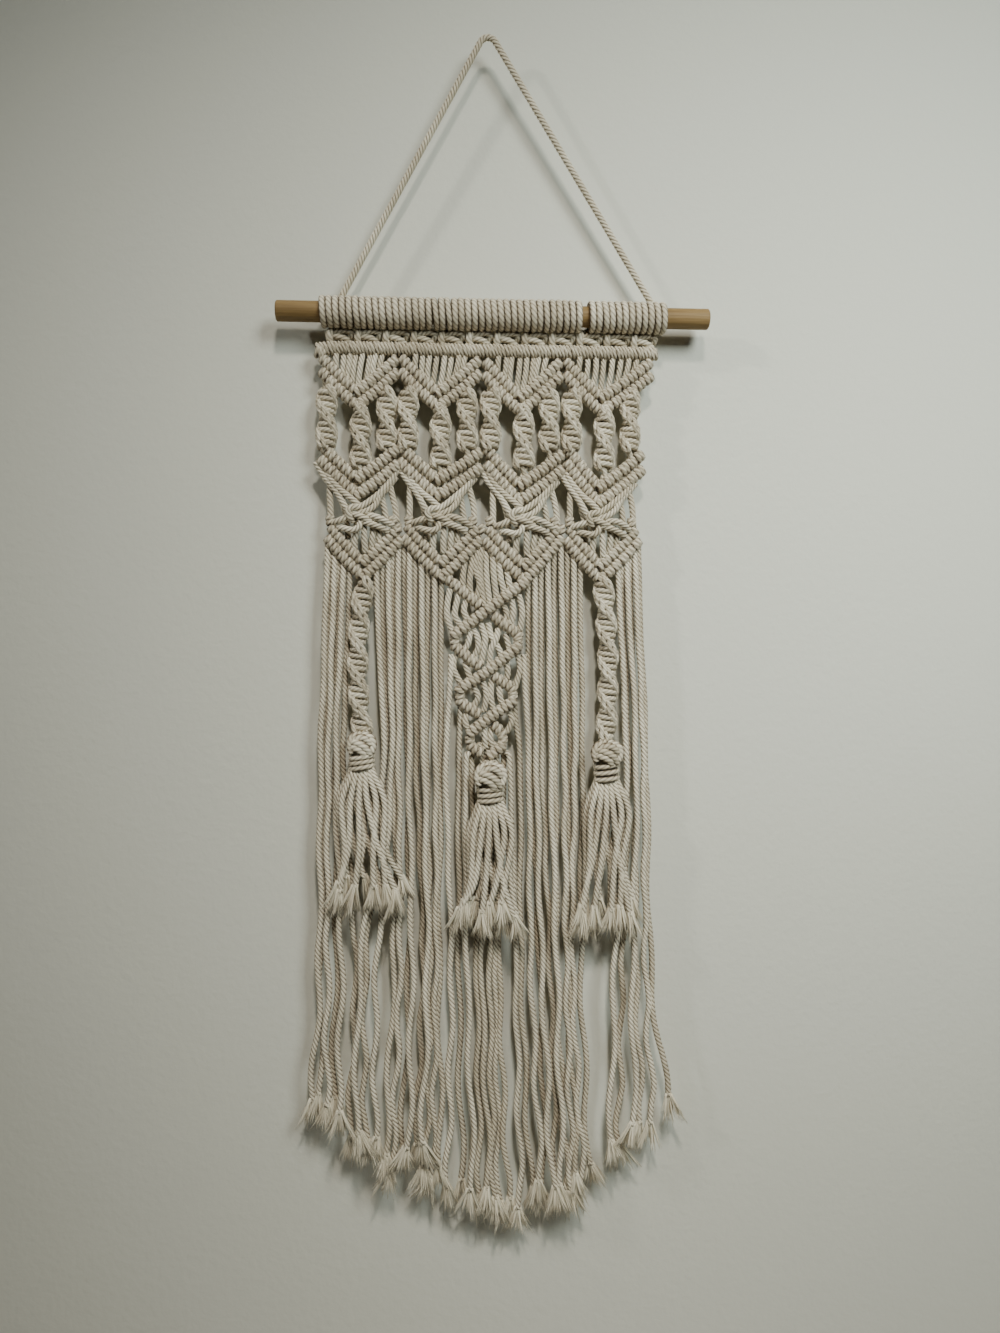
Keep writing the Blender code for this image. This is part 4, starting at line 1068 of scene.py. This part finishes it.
# ---- tassels
def tassel_route(row, index):
    """One strand of a tassel."""
    side = spread((-1.0, 1.0), index, TASSEL_STRANDS)
    low_side = spread((-1.0, 1.0), TASSEL_TIPS[index], TASSEL_STRANDS)
    layer = row.y + TASSEL_STRAND_Y[index % 2]
    serial = index + round(row.x)
    tip_x = row.tip_x + low_side * row.tip_spread + uneven(serial, 2.0)
    tip_z = row.tip_z + uneven(serial + 7, 5.0)
    waist_x = lerp(row.x, row.tip_x, 0.5) + lerp(side, low_side, 0.5) * row.bulge + uneven(serial + 3, 1.2)
    fray_x = lerp(row.x, tip_x, 0.9) + uneven(serial + 9, 1.0)
    return [
        (row.x + side * (row.wrap - 2.6), row.y - 1.0 + (index % 2) * 1.5, row.wrap_end + 2.5),
        (row.x + side * (row.wrap + 0.4), lerp(row.y, layer, 0.6), row.wrap_end - 4.5),
        (row.x + side * row.bulge, layer, row.wrap_end - TASSEL_SHOULDER - 5.0),
        (waist_x, layer, row.wrap_end - TASSEL_WAIST),
        (fray_x, layer + 0.4, tip_z + TASSEL_FRAY),
    ], tip_z


# The knot above a tassel's neck: the angles where cords run down its back and sides, and the cords in front
# as rows of (x, depth, z) from its middle, in shares of its half width, depth and half height
BALL_BACK = (0.15, 3.0, 3.6, 4.2, 4.8, 5.5, 6.1)
BALL_FRONT = (
    ((-0.1, 0.5, 1.05), (-0.8, 0.75, 0.75), (-1.05, 0.7, 0), (-0.8, 0.75, -0.8)),
    ((0.1, 0.5, 1.05), (0.85, 0.75, 0.7), (1.05, 0.7, 0.05), (0.85, 0.75, -0.75)),
    ((-0.7, 0.75, 0.15), (-0.42, 1.05, 0.62), (0.15, 1.15, 0.72), (0.62, 0.95, 0.4), (0.85, 0.75, 0)),
    ((-0.78, 0.85, 0.3), (-0.3, 1.35, 0.2), (0.25, 1.4, -0.12), (0.6, 1.05, -0.6), (0.7, 0.8, -0.95)),
    ((-0.85, 0.8, -0.2), (-0.42, 1.25, -0.3), (0.08, 1.25, -0.62), (0.25, 1, -1.05)),
)
BALL_DEPTH = 0.72  # of the knot, as a share of its width
BALL_RINGS = 12
BALL_CORE_INSET = 2.4  # from the knot's outside to the core in it
BALL_CORE_HEIGHT = 0.95  # as a share of the knot's
BALL_BACK_CORD = 4.2
BALL_FRONT_CORD = 4.7
NECK_TURNS = 3
NECK_INSET = 1.7  # from the neck's outside to its turns' centreline
NECK_TURN = (1.75, 1.62)  # half thickness and half width of a turn
NECK_RINGS = 8
NECK_CORE = (2.6, 3.4)  # from the neck's outside to the core at the sides, and the core's half depth
CORE_SIDES = 12


def tassel_core(skein, x, y, heights, wide, deep):
    """An upright rod that fills a knot or a neck. wide and deep are its half width and half depth."""
    rings = len(heights)
    path, radii = (np.column_stack([np.broadcast_to(values, rings) for values in group])
                   for group in ((x, y, heights), (wide, deep)))
    rod(skein, path, np.arange(float(rings)), radii, BALL_TONE, sides=CORE_SIDES)


def tassel_ball(skein, row):
    """The knot: a core, cords that run down over it, and the lump of the knot in front."""
    middle_z = lerp(row.top, row.ball_end, 0.5)
    half_z = (row.top - row.ball_end) / 2
    y_mid = lerp(row.top_y, row.y, 0.7)
    turn = np.linspace(0.0, math.pi, BALL_RINGS)
    radii = np.maximum(0.4, np.sin(turn)) * (row.ball - BALL_CORE_INSET)
    tassel_core(skein, row.x, y_mid, middle_z + np.cos(turn) * half_z * BALL_CORE_HEIGHT, radii,
                radii * BALL_DEPTH)
    wide = row.ball - 1.9
    deep = (row.ball - 1.4) * BALL_DEPTH
    marks = ((0.2, 0.2, row.top + 1.0), (0.75, 0.75, row.top - 2.6), (1.02, 1.0, middle_z),
             (0.85, 0.9, row.ball_end + 1.0), (0.7, 0.8, row.wrap_end + 2.0))
    for angle in BALL_BACK:
        x_reach, y_reach = math.cos(angle) * wide, -math.sin(angle) * deep
        cord(skein, [(row.x + x_reach * x, y_mid + y_reach * y, z) for x, y, z in marks], BALL_BACK_CORD,
             flat=0.9)
    for path in BALL_FRONT:
        cord(skein, [(row.x + wide * x, y_mid - deep * y, middle_z + half_z * z) for x, y, z in path],
             BALL_FRONT_CORD, section=SECTION_KNOT, flank=BALL_FLANK)


def tassel_neck(skein, row):
    """The turns of cord under the knot, and what they hold."""
    radius = row.wrap - NECK_INSET
    for turn in range(NECK_TURNS):
        z = lerp(row.ball_end + 0.4, row.wrap_end, (turn + 0.5) / NECK_TURNS)
        loop(skein, np.array((row.x, row.y, z)), UP, RIGHT, radius, radius * 0.8, *NECK_TURN,
             row.slant + jitter(0.3), NECK_STEPS, SECTION_WRAP, WRAP_FLANK)
    inset, deep = NECK_CORE
    heights = np.linspace(row.ball_end + 2, row.wrap_end - 8, NECK_RINGS)
    tassel_core(skein, row.x, row.y, heights, row.wrap - inset, deep)


def make_tassel(row, material, fray_material):
    skein = Skein()
    frays = Skein()
    tassel_ball(skein, row)
    tassel_neck(skein, row)
    for index in range(TASSEL_STRANDS):
        points, tip_z = tassel_route(row, index)
        cord(skein, points, flank=HANGING_FLANK, tone=rng.uniform(*HANGING_TONES_AND_SHADE[0]))
        run = np.array(points[-1]) - np.array(points[-2])
        fray(frays, points[-1], run - TASSEL_PLUMB * UP, points[-1][2] - tip_z + 2.5, TASSEL_FLARE)
    skein.make(row.name + "_cords", material, [row.name])
    frays.make(row.name + "_ends", fray_material, [row.name])


# ---- room, light and camera
def make_plane(name, corners, material):
    mesh = bpy.data.meshes.new(name)
    mesh.from_pydata([tuple(Vector(corner) * MM) for corner in corners], [], [(0, 1, 2, 3)])
    mesh.materials.append(material)
    plane = bpy.data.objects.new(name, mesh)
    bpy.context.scene.collection.objects.link(plane)


def make_room():
    wall = room_material("wall_paint", WALL_PAINT, True)
    floor = room_material("floor_paint", FLOOR_PAINT, False)
    reach = ROOM_REACH
    make_plane("backdrop", [(-reach, WALL_Y, FLOOR_Z), (reach, WALL_Y, FLOOR_Z), (reach, WALL_Y, WALL_TOP),
                            (-reach, WALL_Y, WALL_TOP)], wall)
    make_plane("floor", [(-reach, -reach, FLOOR_Z), (reach, -reach, FLOOR_Z), (reach, reach, FLOOR_Z),
                         (-reach, reach, FLOOR_Z)], floor)


Light = namedtuple("Light", "name place target size power colour beam")
LIGHTS = (
    Light("softbox_above", (40, -900, 540), (70, 0, -740), 110, 1.50, (1, 0.955, 0.86), 64),
    Light("window_right", (470, -800, 190), (271, 0, -262), 340, 2.16, (0.90, 1, 0.97), 74),
    Light("lamp_left", (-1250, -700, 450), (250, 0, -330), 90, 0.50, (0.97, 1, 0.95), 44),
    Light("light_behind", (0, 1800, 300), (0, 0, -350), 1500, 5, WHITE, 180),
)


def make_lights():
    """Square soft lights, aimed at their targets with their beams in degrees, and the room's faint light."""
    for row in LIGHTS:
        light = bpy.data.lights.new(row.name, "AREA")
        light.shape = "SQUARE"
        light.size = row.size * MM
        light.energy = row.power
        light.color = row.colour
        light.spread = math.radians(row.beam)
        lamp = bpy.data.objects.new(row.name, light)
        lamp.location = Vector(row.place) * MM
        lamp.rotation_euler = (Vector(row.target) - Vector(row.place)).to_track_quat("-Z", "Y").to_euler()
        lamp.visible_camera = False
        bpy.context.scene.collection.objects.link(lamp)
    world = bpy.data.worlds.new("room")
    world.use_nodes = True
    background = world.node_tree.nodes["Background"]
    background.inputs["Color"].default_value = (*SKY, 1.0)
    background.inputs["Strength"].default_value = SKY_STRENGTH
    bpy.context.scene.world = world


def make_camera():
    data = bpy.data.cameras.new("camera")
    data.lens = CAMERA_LENS
    data.sensor_width = CAMERA_SENSOR
    camera = bpy.data.objects.new("camera", data)
    back = Vector((math.sin(CAMERA_YAW), math.cos(CAMERA_YAW), 0.0)) * -CAMERA_DISTANCE
    camera.location = (Vector(CAMERA_AIM) + back) * MM
    camera.rotation_euler = (math.pi / 2, 0.0, -CAMERA_YAW)
    bpy.context.scene.collection.objects.link(camera)
    bpy.context.scene.camera = camera


make_camera()
cotton = cotton_material("cotton_cord", COTTON_LIGHT, COTTON_DARK, COTTON_STREAKS)
fluff = cotton_material("cotton_fibres", FLUFF_LIGHT, FLUFF_DARK, FLUFF_STREAKS)
make_hanger(cotton)
for wraps_row in WRAPS:
    make_wraps(wraps_row, cotton)
for piece_name, cad_node, fillers in PANEL_PIECES:
    strands = Skein()
    for fill in fillers:
        fill(strands)
    strands.make(piece_name, cotton, [cad_node])
make_fringe(cotton, fluff)
for tassel_row in TASSELS:
    make_tassel(tassel_row, cotton, fluff)
dress_dowel(wood_material())
make_room()
make_lights()
